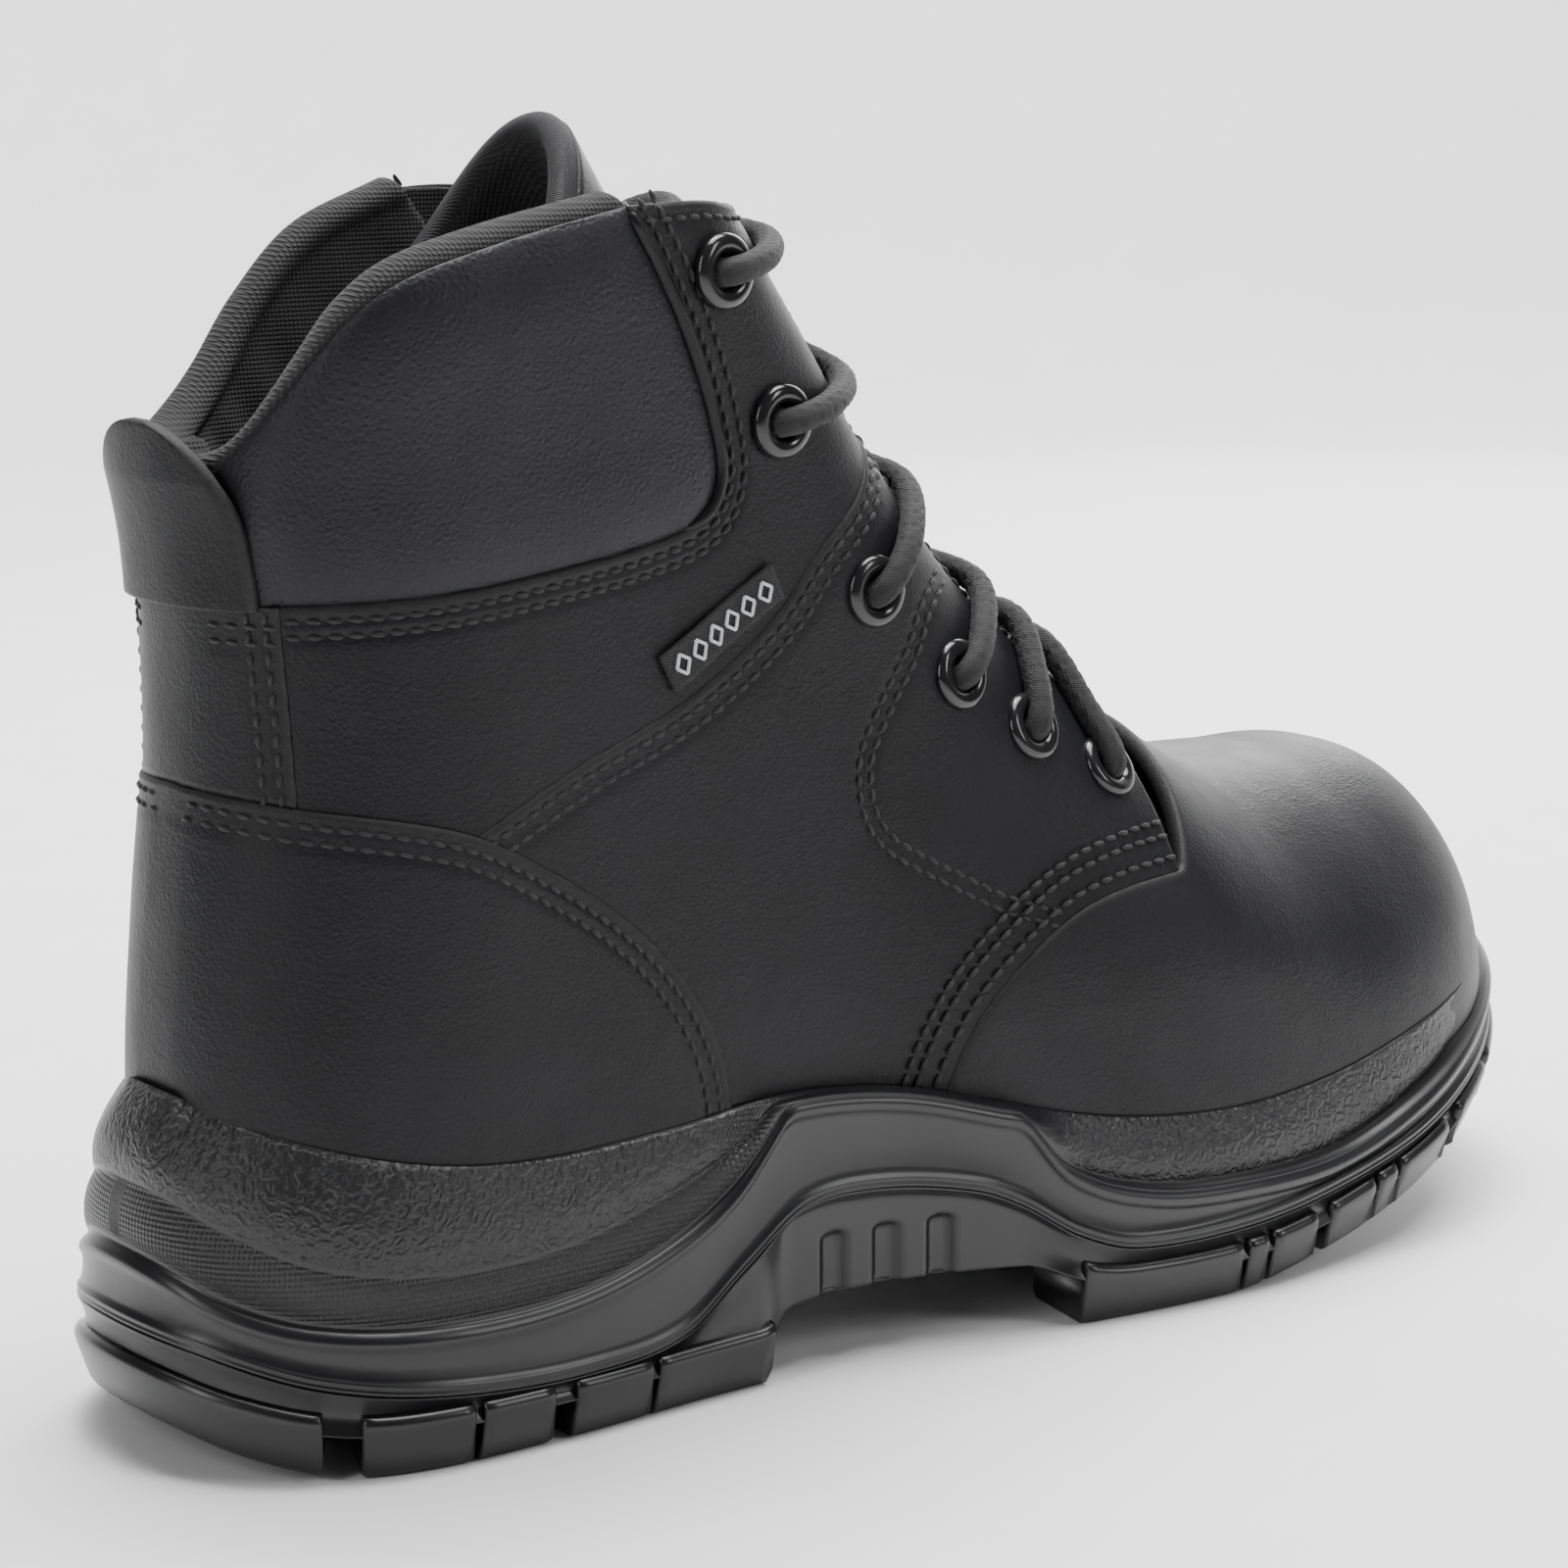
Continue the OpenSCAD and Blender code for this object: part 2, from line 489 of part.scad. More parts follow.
module eyestay_backer(side) {
    color([0.8, 0.78, 0.72]) difference() {
        shell(backer_grid(side), backer_top, backer_top + backer);
        eyelet_holes(side, [for (i = [0 : 5]) i], eyelet_hole);
    }
}
module eyestay_backer_lateral() eyestay_backer(LATERAL);
module eyestay_backer_medial() eyestay_backer(MEDIAL);

// The tongue: s runs from its stitched base to its top, a is the angle round the instep
tongue_dir = [-0.8, -0.6];
function tongue_ridge(s) = let (x = 50 - 107 * s) [x, ridge_z(x)];
function tongue_depth(s) = 30 + 16 * ease(0.5, 1, s);
function tongue_half(s) = let (e = tongue_ridge(s) + tongue_dir * tongue_depth(s))
    half(e[0], e[1], MEDIAL) - tongue_top_depth - 1.4;
function tongue_point(s, a, t, over = 0) =
    let (r = tongue_ridge(s), deep = tongue_depth(s) + over,
        d = tongue_top_depth + t + (deep - tongue_top_depth - t) * (1 - cos(a)))
    [r[0] + tongue_dir[0] * d, (tongue_half(s) - t) * sin(a), r[1] + tongue_dir[1] * d];
module tongue_sheet(outer, inner, nu, nv) {
    rows = [for (i = [0 : nu]) i / nu];
    cols = [for (j = [-nv : nv]) 88 * j / nv];
    sheet([for (s = rows) [for (a = cols) tongue_point(s, a, inner)]],
        [for (s = rows) [for (a = cols) tongue_point(s, a, outer)]]);
}
module tongue_leather() {
    color(black_leather) tongue_sheet(0, 1.2, 12, 6);
}
module tongue_foam() {
    color([0.7, 0.65, 0.4]) tongue_sheet(1.5, 3.7, 10, 5);
}
module tongue_lining() {
    color([0.12, 0.12, 0.13]) tongue_sheet(4, 4.8, 10, 5);
}
module tongue_binding() {
    up = [for (i = [0 : 6]) tongue_point(0.3 + 0.65 * i / 6, 88, 2.4, 4)];
    across = [for (j = [-6 : 6])
        tongue_point(1, 88 * j / 6, 2.4, 4 * pow(abs(j) / 6, 4)) + [-2.4, 0, 3.2]];
    color([0.08, 0.08, 0.09]) tube(concat([for (p = up) [p[0], -p[1], p[2]]], across,
        reversed(up)), 2.2, 8);
}

// A round tube along a route of points
function tube_dir(p, i) = let (d = p[min(i + 1, len(p) - 1)] - p[max(i - 1, 0)]) d / norm(d);
function tube_side(t, s) = let (v = s - (s * t) * t) v / norm(v);
function tube_frames(p, i = 0, s = [0.1, 0.95, 0.2], out = []) =
    i == len(p) ? out
    : let (t = tube_dir(p, i), a = tube_side(t, s)) tube_frames(p, i + 1, a, concat(out, [[t, a]]));
module tube(route, r, sides) {
    f = tube_frames(route);
    n = len(route);
    pts = [for (i = [0 : n - 1]) for (k = [0 : sides - 1])
        let (a = f[i][1], b = cross(f[i][0], a), g = 360 * k / sides)
        route[i] + r * (a * cos(g) + b * sin(g))];
    wall = [for (i = [0 : n - 2]) for (k = [0 : sides - 1]) let (m = (k + 1) % sides)
        [i * sides + k, (i + 1) * sides + k, (i + 1) * sides + m, i * sides + m]];
    polyhedron(points = pts, faces = concat(
        [for (q = wall) each [[q[0], q[1], q[2]], [q[0], q[2], q[3]]]],
        [[for (k = [0 : sides - 1]) k]],
        [[for (k = [sides - 1 : -1 : 0]) (n - 1) * sides + k]]));
}

// Flanged tubes pressed through the facing
washer_depth = lining_top + lining + 0.3;
module eyelets() {
    color([0.04, 0.04, 0.04]) for (s = [LATERAL, MEDIAL]) for (p = eyelet_places)
        on_skin(with_side(p, s)) rotate_extrude($fn = 48) polygon([
            [eyelet_bore, -washer_depth - 0.6], [washer, -washer_depth - 0.6],
            [washer, -washer_depth], [eyelet_bore + 0.7, -washer_depth], [eyelet_bore + 0.7, 0.8],
            [eyelet_flange, 0.8], [eyelet_flange - 0.5, 1.5], [eyelet_bore + 0.8, 1.9],
            [eyelet_bore, 1.4]]);
}

// The lace's route: out of an eyelet, over its facing, across, under the other facing and out
under = lining_top + lining + 0.6 + lace_d / 2;
// Where the lace passes over the facing's edge beside each eyelet
edge_x = [-40, -24, -10, 7, 16, 23];
function throat_point(x, y, depth) = [x - 0.8 * depth, y, ridge_z(x) - 0.6 * depth];
function eyelet_at(i, s, depth) = skin(with_side(eyelet_places[i], s), depth);
function edge_at(x, s, depth) = skin(with_side(facing_point(x), s), depth);
function between(i, x, s) = skin(with_side((eyelet_places[i] + facing_point(x)) / 2, s), -3.1);
function landing_x(i) = i == 0 ? -45 : 0.35 * edge_x[i] + 0.65 * edge_x[i - 1];
function crossing(i, s, over) =
    let (a = edge_x[i], b = landing_x(i), third = (a - b) / 4)
    concat([eyelet_at(i, s, 5), eyelet_at(i, s, -2.6), between(i, a, s), edge_at(a, s, -3.7),
        throat_point(a - third, s * 10, over ? 0.8 : 2.5), throat_point((a + b) / 2, 0, over ? 0.8 : 5.8),
        throat_point(b + third, -s * 10, over ? 4.5 : 7.2), edge_at(b, -s, under)],
        i == 0 ? tail(-s) : [eyelet_at(i - 1, -s, under)]);
tail_line = [[-48, 181], [-51, 172], [-52.3, 162], [-51, 150]];
function tail(s) = [for (p = tail_line) skin(with_side(p, s), under)];
function strand(i, s, over) =
    i < 0 ? [] : concat(crossing(i, s, over), strand(i - 1, -s, over));
// The lowest run, under both facings, then one strand up each way
lowest_run = concat([eyelet_at(5, LATERAL, under)],
    [for (w = [-1, -0.5, 0, 0.5, 1]) throat_point(42, 20 * w, 8.2)], [eyelet_at(5, MEDIAL, under)]);
lace_route = concat(reversed(strand(5, LATERAL, true)), lowest_run, strand(5, MEDIAL, false));
// Rings of the tube for each point of the route
rings_per_point = 2;
lace_rings = span(lace_route, 0, len(lace_route) - 1, rings_per_point * (len(lace_route) - 1));
module lace() {
    color([0.05, 0.05, 0.05]) tube(lace_rings, lace_d / 2, 8);
}
// Ends of the lace, each past the lace's own end in its direction
function tip_frame(p) = let (n = len(p), a = p[n - 2], b = p[n - 1], d = (b - a) / norm(b - a)) [b, d];
module aglets() {
    for (f = [tip_frame(lace_rings), tip_frame(reversed(lace_rings))])
        color([0.1, 0.1, 0.1]) translate(f[0] + 0.05 * f[1])
            rotate([0, acos(f[1][2]), atan2(f[1][1], f[1][0])])
                cylinder(h = 16, r = lace_d / 2 - 0.5, $fn = 24);
}
module side_label() {
    g = grid([[-64, 119.5], [-44.5, 131.5]], [[-44.5, 131.5], [-46, 138]],
        [[-68, 125.5], [-46, 138]], [[-64, 119.5], [-68, 125.5]], 4, 2, LATERAL);
    color([0.1, 0.1, 0.1]) shell(g, -1, -0.4);
}

outsole();
midsole();
puncture_plate();
insole_board();
footbed();
steel_toecap();
toecap_edging();
heel_stiffener();
vamp();
quarter_lateral();
quarter_medial();
ankle_panel_lateral();
ankle_panel_medial();
heel_counter();
backstay();
pull_tab();
collar_panel_lateral();
collar_panel_medial();
collar_piping();
collar_foam();
collar_lining();
lining_vamp();
lining_quarter_lateral();
lining_quarter_medial();
lining_ankle_lateral();
lining_ankle_medial();
lining_heel();
eyestay_backer_lateral();
eyestay_backer_medial();
tongue_leather();
tongue_foam();
tongue_lining();
tongue_binding();
eyelets();
lace();
aglets();
side_label();
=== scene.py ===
"""A six-inch laced safety boot: the look of every sub-part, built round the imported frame."""
import json
import math

import bmesh
import bpy
import numpy as np
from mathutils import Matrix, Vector


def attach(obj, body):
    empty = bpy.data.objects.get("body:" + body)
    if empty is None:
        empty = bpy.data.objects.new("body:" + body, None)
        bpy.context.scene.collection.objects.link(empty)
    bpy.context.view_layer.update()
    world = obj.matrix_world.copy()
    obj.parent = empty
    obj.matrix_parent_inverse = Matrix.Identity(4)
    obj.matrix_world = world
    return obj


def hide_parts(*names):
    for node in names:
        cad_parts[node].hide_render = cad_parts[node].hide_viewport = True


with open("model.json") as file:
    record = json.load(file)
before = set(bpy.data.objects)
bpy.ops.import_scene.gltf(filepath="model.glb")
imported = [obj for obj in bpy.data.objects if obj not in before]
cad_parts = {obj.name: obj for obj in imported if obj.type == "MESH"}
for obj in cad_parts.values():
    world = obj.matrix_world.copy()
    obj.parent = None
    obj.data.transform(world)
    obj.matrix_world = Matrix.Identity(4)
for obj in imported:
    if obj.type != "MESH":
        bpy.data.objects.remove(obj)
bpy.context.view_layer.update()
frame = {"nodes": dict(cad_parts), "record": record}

MM = 0.001
LATERAL, MEDIAL = -1, 1
SIDE_NAMES = {LATERAL: "lateral", MEDIAL: "medial"}

# ---------------------------------------------------------------- the boot's lines, in millimetres
HEEL_END, TOE_END, TOE_TIP = -153, 153, 147
HEEL_RIM, BALL_RIM, TUCK = 47, 34, 9
ANKLE_HALF, THROAT_HALF = 34, 20
LINING_TOP, COLLAR_LINING_TOP, TONGUE_TOP_DEPTH = 4.2, 9.0, 10.8
LACE_D, EYELET_BORE, EYELET_FLANGE = 4.6, 2.9, 6.3
RIDGE_LINE = [[-84, 262], [-62, 228], [-45, 200], [-31, 180], [-18, 161], [2, 136], [22, 119.5],
              [40, 106], [55, 95], [72, 87.5], [95, 85], [115, 84], [130, 78], [141, 66],
              [TOE_TIP, 48]]
HEEL_LINE = [[30, -142], [60, -142], [85, -140], [110, -137.5], [140, -138], [165, -141],
             [185, -145], [240, -150]]
OUTER_LINE = [[-145, 35], [-106, 35], [-70, 36], [-30, 38], [0, 43], [30, 49], [50, 52],
              [80, 53], [110, 51], [147, 48]]
INNER_LINE = [[-145, 34], [-106, 34], [-70, 32], [-30, 31], [0, 36], [30, 43], [60, 48],
              [90, 47], [147, 44]]
MIDDLE_LINE = [[-150, 0], [-60, 0], [30, 0], [100, 3], [147, 7]]
RIM_LINE = [[HEEL_END, HEEL_RIM + 14], [-140, HEEL_RIM + 8], [-120, HEEL_RIM + 3],
            [-95, HEEL_RIM], [-70, HEEL_RIM + 0.5], [-45, HEEL_RIM + 2.5],
            [-25, HEEL_RIM + 0.5], [-5, 42], [20, BALL_RIM + 2], [45, BALL_RIM],
            [70, BALL_RIM + 2], [95, BALL_RIM + 7], [120, BALL_RIM + 12],
            [TOE_END, BALL_RIM + 16]]
PARTING_LINE = [[HEEL_END, 23], [-135, 16], [-110, 12], [-88, 11], [-70, 13], [-57, 22],
                [-45, 30], [-30, 31], [-12, 28], [-3, 24], [8, 17], [20, 13], [45, 13],
                [70, 16], [90, 20], [115, 27], [TOE_END, 38]]
TREAD_LINE = [[HEEL_END, 8], [-145, 4], [-134, 0.8], [-122, 0], [-54, 0], [-52, 0], [-49, 12],
              [-30, 13], [0, 12], [8, 10], [13, 0], [16, 0], [42, 0], [60, 2.5], [80, 6.5],
              [100, 12], [120, 18.5], [140, 26], [TOE_END, 32]]
BASE_LINE = [[HEEL_END, 15], [-145, 11.5], [-134, 8.5], [-122, 7.5], [-54, 7.5], [-50, 9],
             [-46, 12], [-30, 13], [0, 12], [6, 10], [12, 8], [20, 7], [42, 7], [60, 9],
             [80, 13], [100, 18], [120, 24], [140, 31], [TOE_END, 35.5]]
SOLE_OUT = [[HEEL_END, 38], [-120, 41], [-90, 42.5], [-60, 42], [-30, 44], [0, 51], [25, 56],
            [50, 59], [75, 59], [100, 57], [TOE_END, 50]]
SOLE_IN = [[HEEL_END, 37], [-120, 40], [-90, 40], [-60, 36.5], [-30, 35], [0, 41], [25, 47],
           [50, 52], [75, 53], [100, 52], [TOE_END, 48]]
EYELET_PLACES = [[-57, 187], [-44, 162], [-24, 132], [-5, 115.5], [11, 104.5], [28, 95.5]]


def ease(a, b, x):
    t = np.clip((np.asarray(x, float) - a) / (b - a), 0, 1)
    return t * t * (3 - 2 * t)


def swell(t, power):
    c = np.clip(t, 0, 1)
    return (1 - (1 - c) ** power) ** (1 / power)


def hermite(a, b, slope_a, slope_b, t):
    t2, t3 = t * t, t * t * t
    return ((2 * t3 - 3 * t2 + 1) * a + (t3 - 2 * t2 + t) * slope_a
            + (3 * t2 - 2 * t3) * b + (t3 - t2) * slope_b)


def curve(points, x):
    """Smooth line through the points, read at x."""
    p = np.asarray(points, float)
    n = len(p)
    after, before = np.minimum(np.arange(n) + 1, n - 1), np.maximum(np.arange(n) - 1, 0)
    slope = (p[after, 1] - p[before, 1]) / (p[after, 0] - p[before, 0])
    q = np.clip(x, p[0, 0], p[-1, 0])
    i = np.clip(np.searchsorted(p[:, 0], q, side="right") - 1, 0, n - 2)
    h = p[i + 1, 0] - p[i, 0]
    return hermite(p[i, 1], p[i + 1, 1], slope[i] * h, slope[i + 1] * h, (q - p[i, 0]) / h)


def span(points, a, b, n):
    """Smooth path through the points, from point a to point b in n steps."""
    p = np.asarray(points, float)
    last = len(p) - 1
    t = np.linspace(a, b, n + 1)
    i = np.clip(np.floor(t).astype(int), 0, last - 1)
    before, after = np.maximum(i - 1, 0), np.minimum(i + 2, last)
    slope_a = (p[i + 1] - p[before]) / np.where(i > 0, 2, 1)[:, None]
    slope_b = (p[after] - p[i]) / np.where(i < last - 1, 2, 1)[:, None]
    return hermite(p[i], p[i + 1], slope_a, slope_b, (t - i)[:, None])


def whole(points, n=60):
    return span(points, 0, len(points) - 1, n)


def joined(*lines):
    return np.concatenate([lines[0]] + [line[1:] for line in lines[1:]])


def resample(p, n):
    """The same polyline with n points at even distances."""
    p = np.asarray(p, float)
    s = np.r_[0, np.cumsum(np.linalg.norm(np.diff(p, axis=0), axis=1))]
    t = np.linspace(0, s[-1], n)
    return np.stack([np.interp(t, s, p[:, k]) for k in range(p.shape[1])], 1)


def length_of(p):
    return np.linalg.norm(np.diff(p, axis=0), axis=1).sum()


# ---------------------------------------------------------------- the upper's surface
def ridge_z(x):
    return curve(RIDGE_LINE, x)


def heel_x(z):
    return curve(HEEL_LINE, z)


def middle_y(x):
    return curve(MIDDLE_LINE, x)


def rim_z(x):
    return curve(RIM_LINE, x)


def bottom_z(x):
    return rim_z(x) - TUCK


def body_half(x, z, side):
    k = ease(55, 125, z)
    low = np.where(np.asarray(side) < 0, curve(OUTER_LINE, x), curve(INNER_LINE, x))
    return low * (1 - k) + (ANKLE_HALF + 3 * ease(150, 200, z)) * k


def ridge_power(x):
    return 2.7 - 0.5 * ease(0, 80, x)


def half(x, z, side):
    return (body_half(x, z, side) * swell((x - heel_x(z)) / 44, 2.25)
            * swell((ridge_z(x) - z) / 46, ridge_power(x)) * swell((TOE_TIP - x) / 60, 2.3))


def skin(q, side, depth=0.0):
    """Points of the upper at [x, z], at a depth below its outer face."""
    x, z, h = q[..., 0], q[..., 1], 0.1
    w = half(x, z, side)
    w = np.where(w < 0.05, 0, w)
    gx = (half(x + h, z, side) - half(x - h, z, side)) / (2 * h)
    gz = (half(x, z + h, side) - half(x, z - h, side)) / (2 * h)
    n = np.stack([gx, np.where(w == 0, 0, -np.asarray(side, float) * np.ones_like(w)), gz], -1)
    n /= np.maximum(np.linalg.norm(n, axis=-1, keepdims=True), 0.001)
    base = np.stack([x, middle_y(x) + side * w, z], -1)
    return base + np.asarray(depth, float)[..., None] * n


def outward(q, side):
    d = skin(q, side, -1.0) - skin(q, side)
    length = np.linalg.norm(d, axis=-1, keepdims=True)
    return np.where(length > 1e-3, d / np.maximum(length, 1e-3), [-1.0, 0.0, 0.0])


def facing_point(x):
    """The facing's front edge keeps the throat's half width."""
    x = np.asarray(x, float)
    p = ridge_power(x)
    w = body_half(x, ridge_z(x) - 4, LATERAL)
    return np.stack([x, ridge_z(x) - 46 * (1 - (1 - (THROAT_HALF / w) ** p) ** (1 / p))], -1)


def facing_edge(a, b, n=60):
    return facing_point(np.linspace(a, b, n + 1))


COUNTER_SEAM = [[heel_x(108), 108], [-129, 106.3], [-116, 104], [-104, 100.5], [-92, 94],
                [-80, 86], [-70, 77], [-62, 66], [-57.5, 54], [-56, bottom_z(-56)]]
DIAGONAL_SEAM = [[-104, 100.5], [-86, 109], [-63, 118], [-46, 129], [-36, 140], [-27, 148],
                 list(facing_point(-18.5))]
VAMP_SEAM = [[-15, bottom_z(-15)], [-13, 46], [-6, 58], [4, 67], [14, 73], [25, 76], [37, 77]]
THROAT_SEAM = [[37, 77], [41, 85], [45, 93], [48, ridge_z(48)]]
FACING_END = [[37, 77], [36.5, 87], [35.5, 96], [33.5, 103], list(facing_point(29))]
COLLAR_SEAM = [[-130.5, 138], [-110, 139], [-90, 141], [-72, 143.5], [-60, 147], [-56, 154],
               [-58, 164], [-63, 176], [-69, 187], [-76, 198]]
COLLAR_EDGE = [[heel_x(157), 157], [-136.5, 161], [-130, 173], [-124, 182], [-115, 188.5],
               [-98, 193.5], [-76, 198]]
# The inner side's collar edge lies lower and further forward
FAR_COLLAR_EDGE = [[heel_x(157), 157], [-134, 158.5], [-124, 162.5], [-115, 169], [-105, 180],
                   [-93, 191], [-76, 198]]
BACKSTAY_SEAM = [[-129, 106.3], [-129.5, 122], [-130.5, 138]]
FACING_TOP = [list(facing_point(-45)), [-53, 197.5], [-62, 198.5], [-76, 198]]
FACING_STITCH = [[-4, 131], [-11, 127], [-15, 120], [-20, 113], [-25, 105], [-26, 100],
                 [-25, 94], [-21, 89], [-11, 83], [0, 77], [11, 73]]


# ---------------------------------------------------------------- panels as grids of [x, z]
EDGE_ROUND = 1.0
CELL = 1.25


def steps(size, tight=None, edges=(True, True)):
    """Values from 0 to 1 in even cells, with finer ones beside the panel's rounded edges."""
    t = np.linspace(0, 1, max(int(size / CELL), 2) + 1)
    if tight == "start":
        t = 1 - np.cos(t * math.pi / 2)
    if tight == "end":
        t = np.sin(t * math.pi / 2)
    near = np.array([0.2, 0.5, 0.9]) / size
    extra = [near] * edges[0] + [1 - near] * edges[1]
    t = np.sort(np.concatenate([t] + extra))
    keep = np.r_[True, np.diff(t) > 0.1 / size]
    keep[-1] = True
    return t[keep]


def side_at(p, t):
    p = resample(p, 400)
    i = t * (len(p) - 1)
    return np.stack([np.interp(i, np.arange(len(p)), p[:, k]) for k in range(2)], -1)


def patch(bottom, right, top, left, u, v):
    """A patch between four lines: bottom and top run in u, left and right in v."""
    low, high = side_at(bottom, u)[:, None], side_at(top, u)[:, None]
    near, far = side_at(left, v)[None], side_at(right, v)[None]
    u, v = u[:, None, None], v[None, :, None]
    return ((1 - v) * low + v * high + (1 - u) * near + u * far
            - (1 - u) * (1 - v) * bottom[0] - u * (1 - v) * bottom[-1]
            - (1 - u) * v * top[0] - u * v * top[-1])


def bottom_edge(a, b):
    x = np.linspace(a, b, 80)
    return np.stack([x, bottom_z(x)], -1)


def heel_ridge(low, high):
    z = np.linspace(low, high, 60)
    return np.stack([heel_x(z), z], -1)


def toe_ridge(a, b):
    x = a + (b - a) * np.sin(np.linspace(0, math.pi / 2, 200))
    return np.stack([x, ridge_z(x)], -1)


def vamp_grid(u, v):
    tip = np.array([[TOE_TIP, bottom_z(TOE_TIP)], [TOE_TIP, 48]], float)
    return patch(bottom_edge(-15, TOE_TIP), tip, toe_ridge(48, TOE_TIP),
                 joined(whole(VAMP_SEAM), whole(THROAT_SEAM)), u, v)


def counter_grid(u, v):
    return patch(bottom_edge(heel_x(45), -56), span(COUNTER_SEAM, 5, 9, 50)[::-1],
                 span(COUNTER_SEAM, 0, 5, 50), heel_ridge(bottom_z(heel_x(45)), 108), u, v)


def quarter_grid(u, v):
    top = joined(whole(DIAGONAL_SEAM), facing_edge(-18.5, 29), whole(FACING_END)[::-1])
    return patch(bottom_edge(-56, -15), whole(VAMP_SEAM), top,
                 span(COUNTER_SEAM, 3, 9, 60)[::-1], u, v)


def ankle_grid(u, v, left=None, first=1):
    left = whole(BACKSTAY_SEAM) if left is None else left
    return patch(joined(span(COUNTER_SEAM, first, 3, 40), whole(DIAGONAL_SEAM)),
                 joined(facing_edge(-18.5, -45), whole(FACING_TOP)),
                 joined(np.array([left[-1]]), whole(COLLAR_SEAM)), left, u, v)


def collar_grid(u, v, side=LATERAL):
    edge = whole(COLLAR_EDGE if side == LATERAL else FAR_COLLAR_EDGE)
    return patch(joined(np.array([[heel_x(138), 138]]), span(COLLAR_SEAM, 0, 4, 40)),
                 span(COLLAR_SEAM, 4, 9, 40), edge, heel_ridge(138, 157), u, v)


def backstay_grid(u, v):
    return patch(span(COUNTER_SEAM, 0, 1, 10), whole(BACKSTAY_SEAM),
                 np.array([[heel_x(138), 138], [-130.5, 138]], float), heel_ridge(108, 138), u, v)


# ---------------------------------------------------------------- meshes
def new_object(name, points, faces, smooth=True, merge=0.0, marks=None):
    """A mesh object from points in millimetres, with its faces turned outward."""
    mesh = bpy.data.meshes.new(name)
    mesh.from_pydata((np.asarray(points).reshape(-1, 3) * MM).tolist(), [], faces)
    for mark, values in (marks or {}).items():
        attribute = mesh.attributes.new(mark, "FLOAT", "POINT")
        attribute.data.foreach_set("value", np.asarray(values, np.float32).ravel())
    bm = bmesh.new()
    bm.from_mesh(mesh)
    if merge:
        bmesh.ops.remove_doubles(bm, verts=bm.verts, dist=merge * MM)
    bmesh.ops.recalc_face_normals(bm, faces=bm.faces)
    bm.to_mesh(mesh)
    bm.free()
    mesh.polygons.foreach_set("use_smooth", [smooth] * len(mesh.polygons))
    piece = bpy.data.objects.new(name, mesh)
    bpy.context.scene.collection.objects.link(piece)
    return piece


def sheet_faces(rows, cols):
    i, j = np.meshgrid(np.arange(rows - 1), np.arange(cols - 1), indexing="ij")
    a = (i * cols + j).ravel()
    top = np.stack([a, a + 1, a + cols + 1, a + cols], 1)
    n = rows * cols
    ring = np.concatenate([np.arange(cols), np.arange(2, rows) * cols - 1,
                           np.arange(n - 1, n - cols - 1, -1), np.arange(rows - 2, 0, -1) * cols])
    after = np.roll(ring, -1)
    wall = np.stack([ring, ring + n, after + n, after], 1)
    return np.concatenate([top, top[:, ::-1] + n, wall]).tolist()


def sheet(name, outer, inner, edge=None, merge=0.0):
    """A closed sheet between two equal grids of points; edge says where the cut leather shows."""
    marks = None if edge is None else {"edge": np.stack([edge, np.ones_like(edge)])}
    return new_object(name, np.concatenate([outer.reshape(-1, 3), inner.reshape(-1, 3)]),
                      sheet_faces(*outer.shape[:2]), merge=merge, marks=marks)


def tube_frames(route):
    t = np.gradient(route, axis=0)
    t /= np.linalg.norm(t, axis=1, keepdims=True)
    side = np.array([0.1, 0.95, 0.2])
    sides = []
    for direction in t:
        side = side - (side @ direction) * direction
        side /= np.linalg.norm(side)
        sides.append(side)
    a = np.array(sides)
    return t, a, np.cross(t, a)


def tube(name, route, radius, sides=12, flat=1.0):
    """A round tube along a route; radius may be an array of rings by sides."""
    _, a, b = tube_frames(route)
    g = np.arange(sides) * 2 * math.pi / sides
    r = np.broadcast_to(np.asarray(radius, float), (len(route), sides))[..., None]
    ring = route[:, None] + r * (a[:, None] * np.cos(g)[:, None] + flat * b[:, None] * np.sin(g)[:, None])
    i, k = np.meshgrid(np.arange(len(route) - 1), np.arange(sides), indexing="ij")
    m = (k + 1) % sides
    walls = np.stack([i * sides + k, (i + 1) * sides + k, (i + 1) * sides + m, i * sides + m], -1)
    last = (len(route) - 1) * sides
    ends = [list(range(sides)), [last + x for x in range(sides)]]
    return new_object(name, ring, walls.reshape(-1, 4).tolist() + ends)


def stacked(name, rings, merge=0.0):
    """A solid from closed rings of paired points, closed by a ladder at both ends."""
    rings = np.asarray(rings)
    count, k = rings.shape[:2]
    r, i = np.meshgrid(np.arange(count - 1), np.arange(k), indexing="ij")
    j = (i + 1) % k
    walls = np.stack([r * k + i, r * k + j, (r + 1) * k + j, (r + 1) * k + i], -1).reshape(-1, 4)
    a = np.arange(k // 2 - 1)
    ladder = np.stack([a, k - 1 - a, k - 2 - a, a + 1], 1)
    caps = np.concatenate([ladder, ladder[:, ::-1] + (count - 1) * k])
    return new_object(name, rings, np.concatenate([walls, caps]).tolist(), merge=merge)


def nearest(points, line):
    """The distance of every point from the nearest point of a line."""
    flat = points.reshape(-1, 3)
    out = np.empty(len(flat))
    for i in range(0, len(flat), 2000):
        d = flat[i:i + 2000, None] - line[None]
        out[i:i + 2000] = np.sqrt((d * d).sum(-1).min(1))
    return out.reshape(points.shape[:-1])


def dress(piece, material, body, slot, *nodes):
    piece.data.materials.clear()
    piece.data.materials.append(material)
    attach(piece, body)
    if nodes:
        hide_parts(*nodes)
    return piece


# ---------------------------------------------------------------- stitches
STITCH_PITCH, STITCH_LENGTH, STITCH_RADIUS = 3.0, 2.5, 0.46
stitches = []


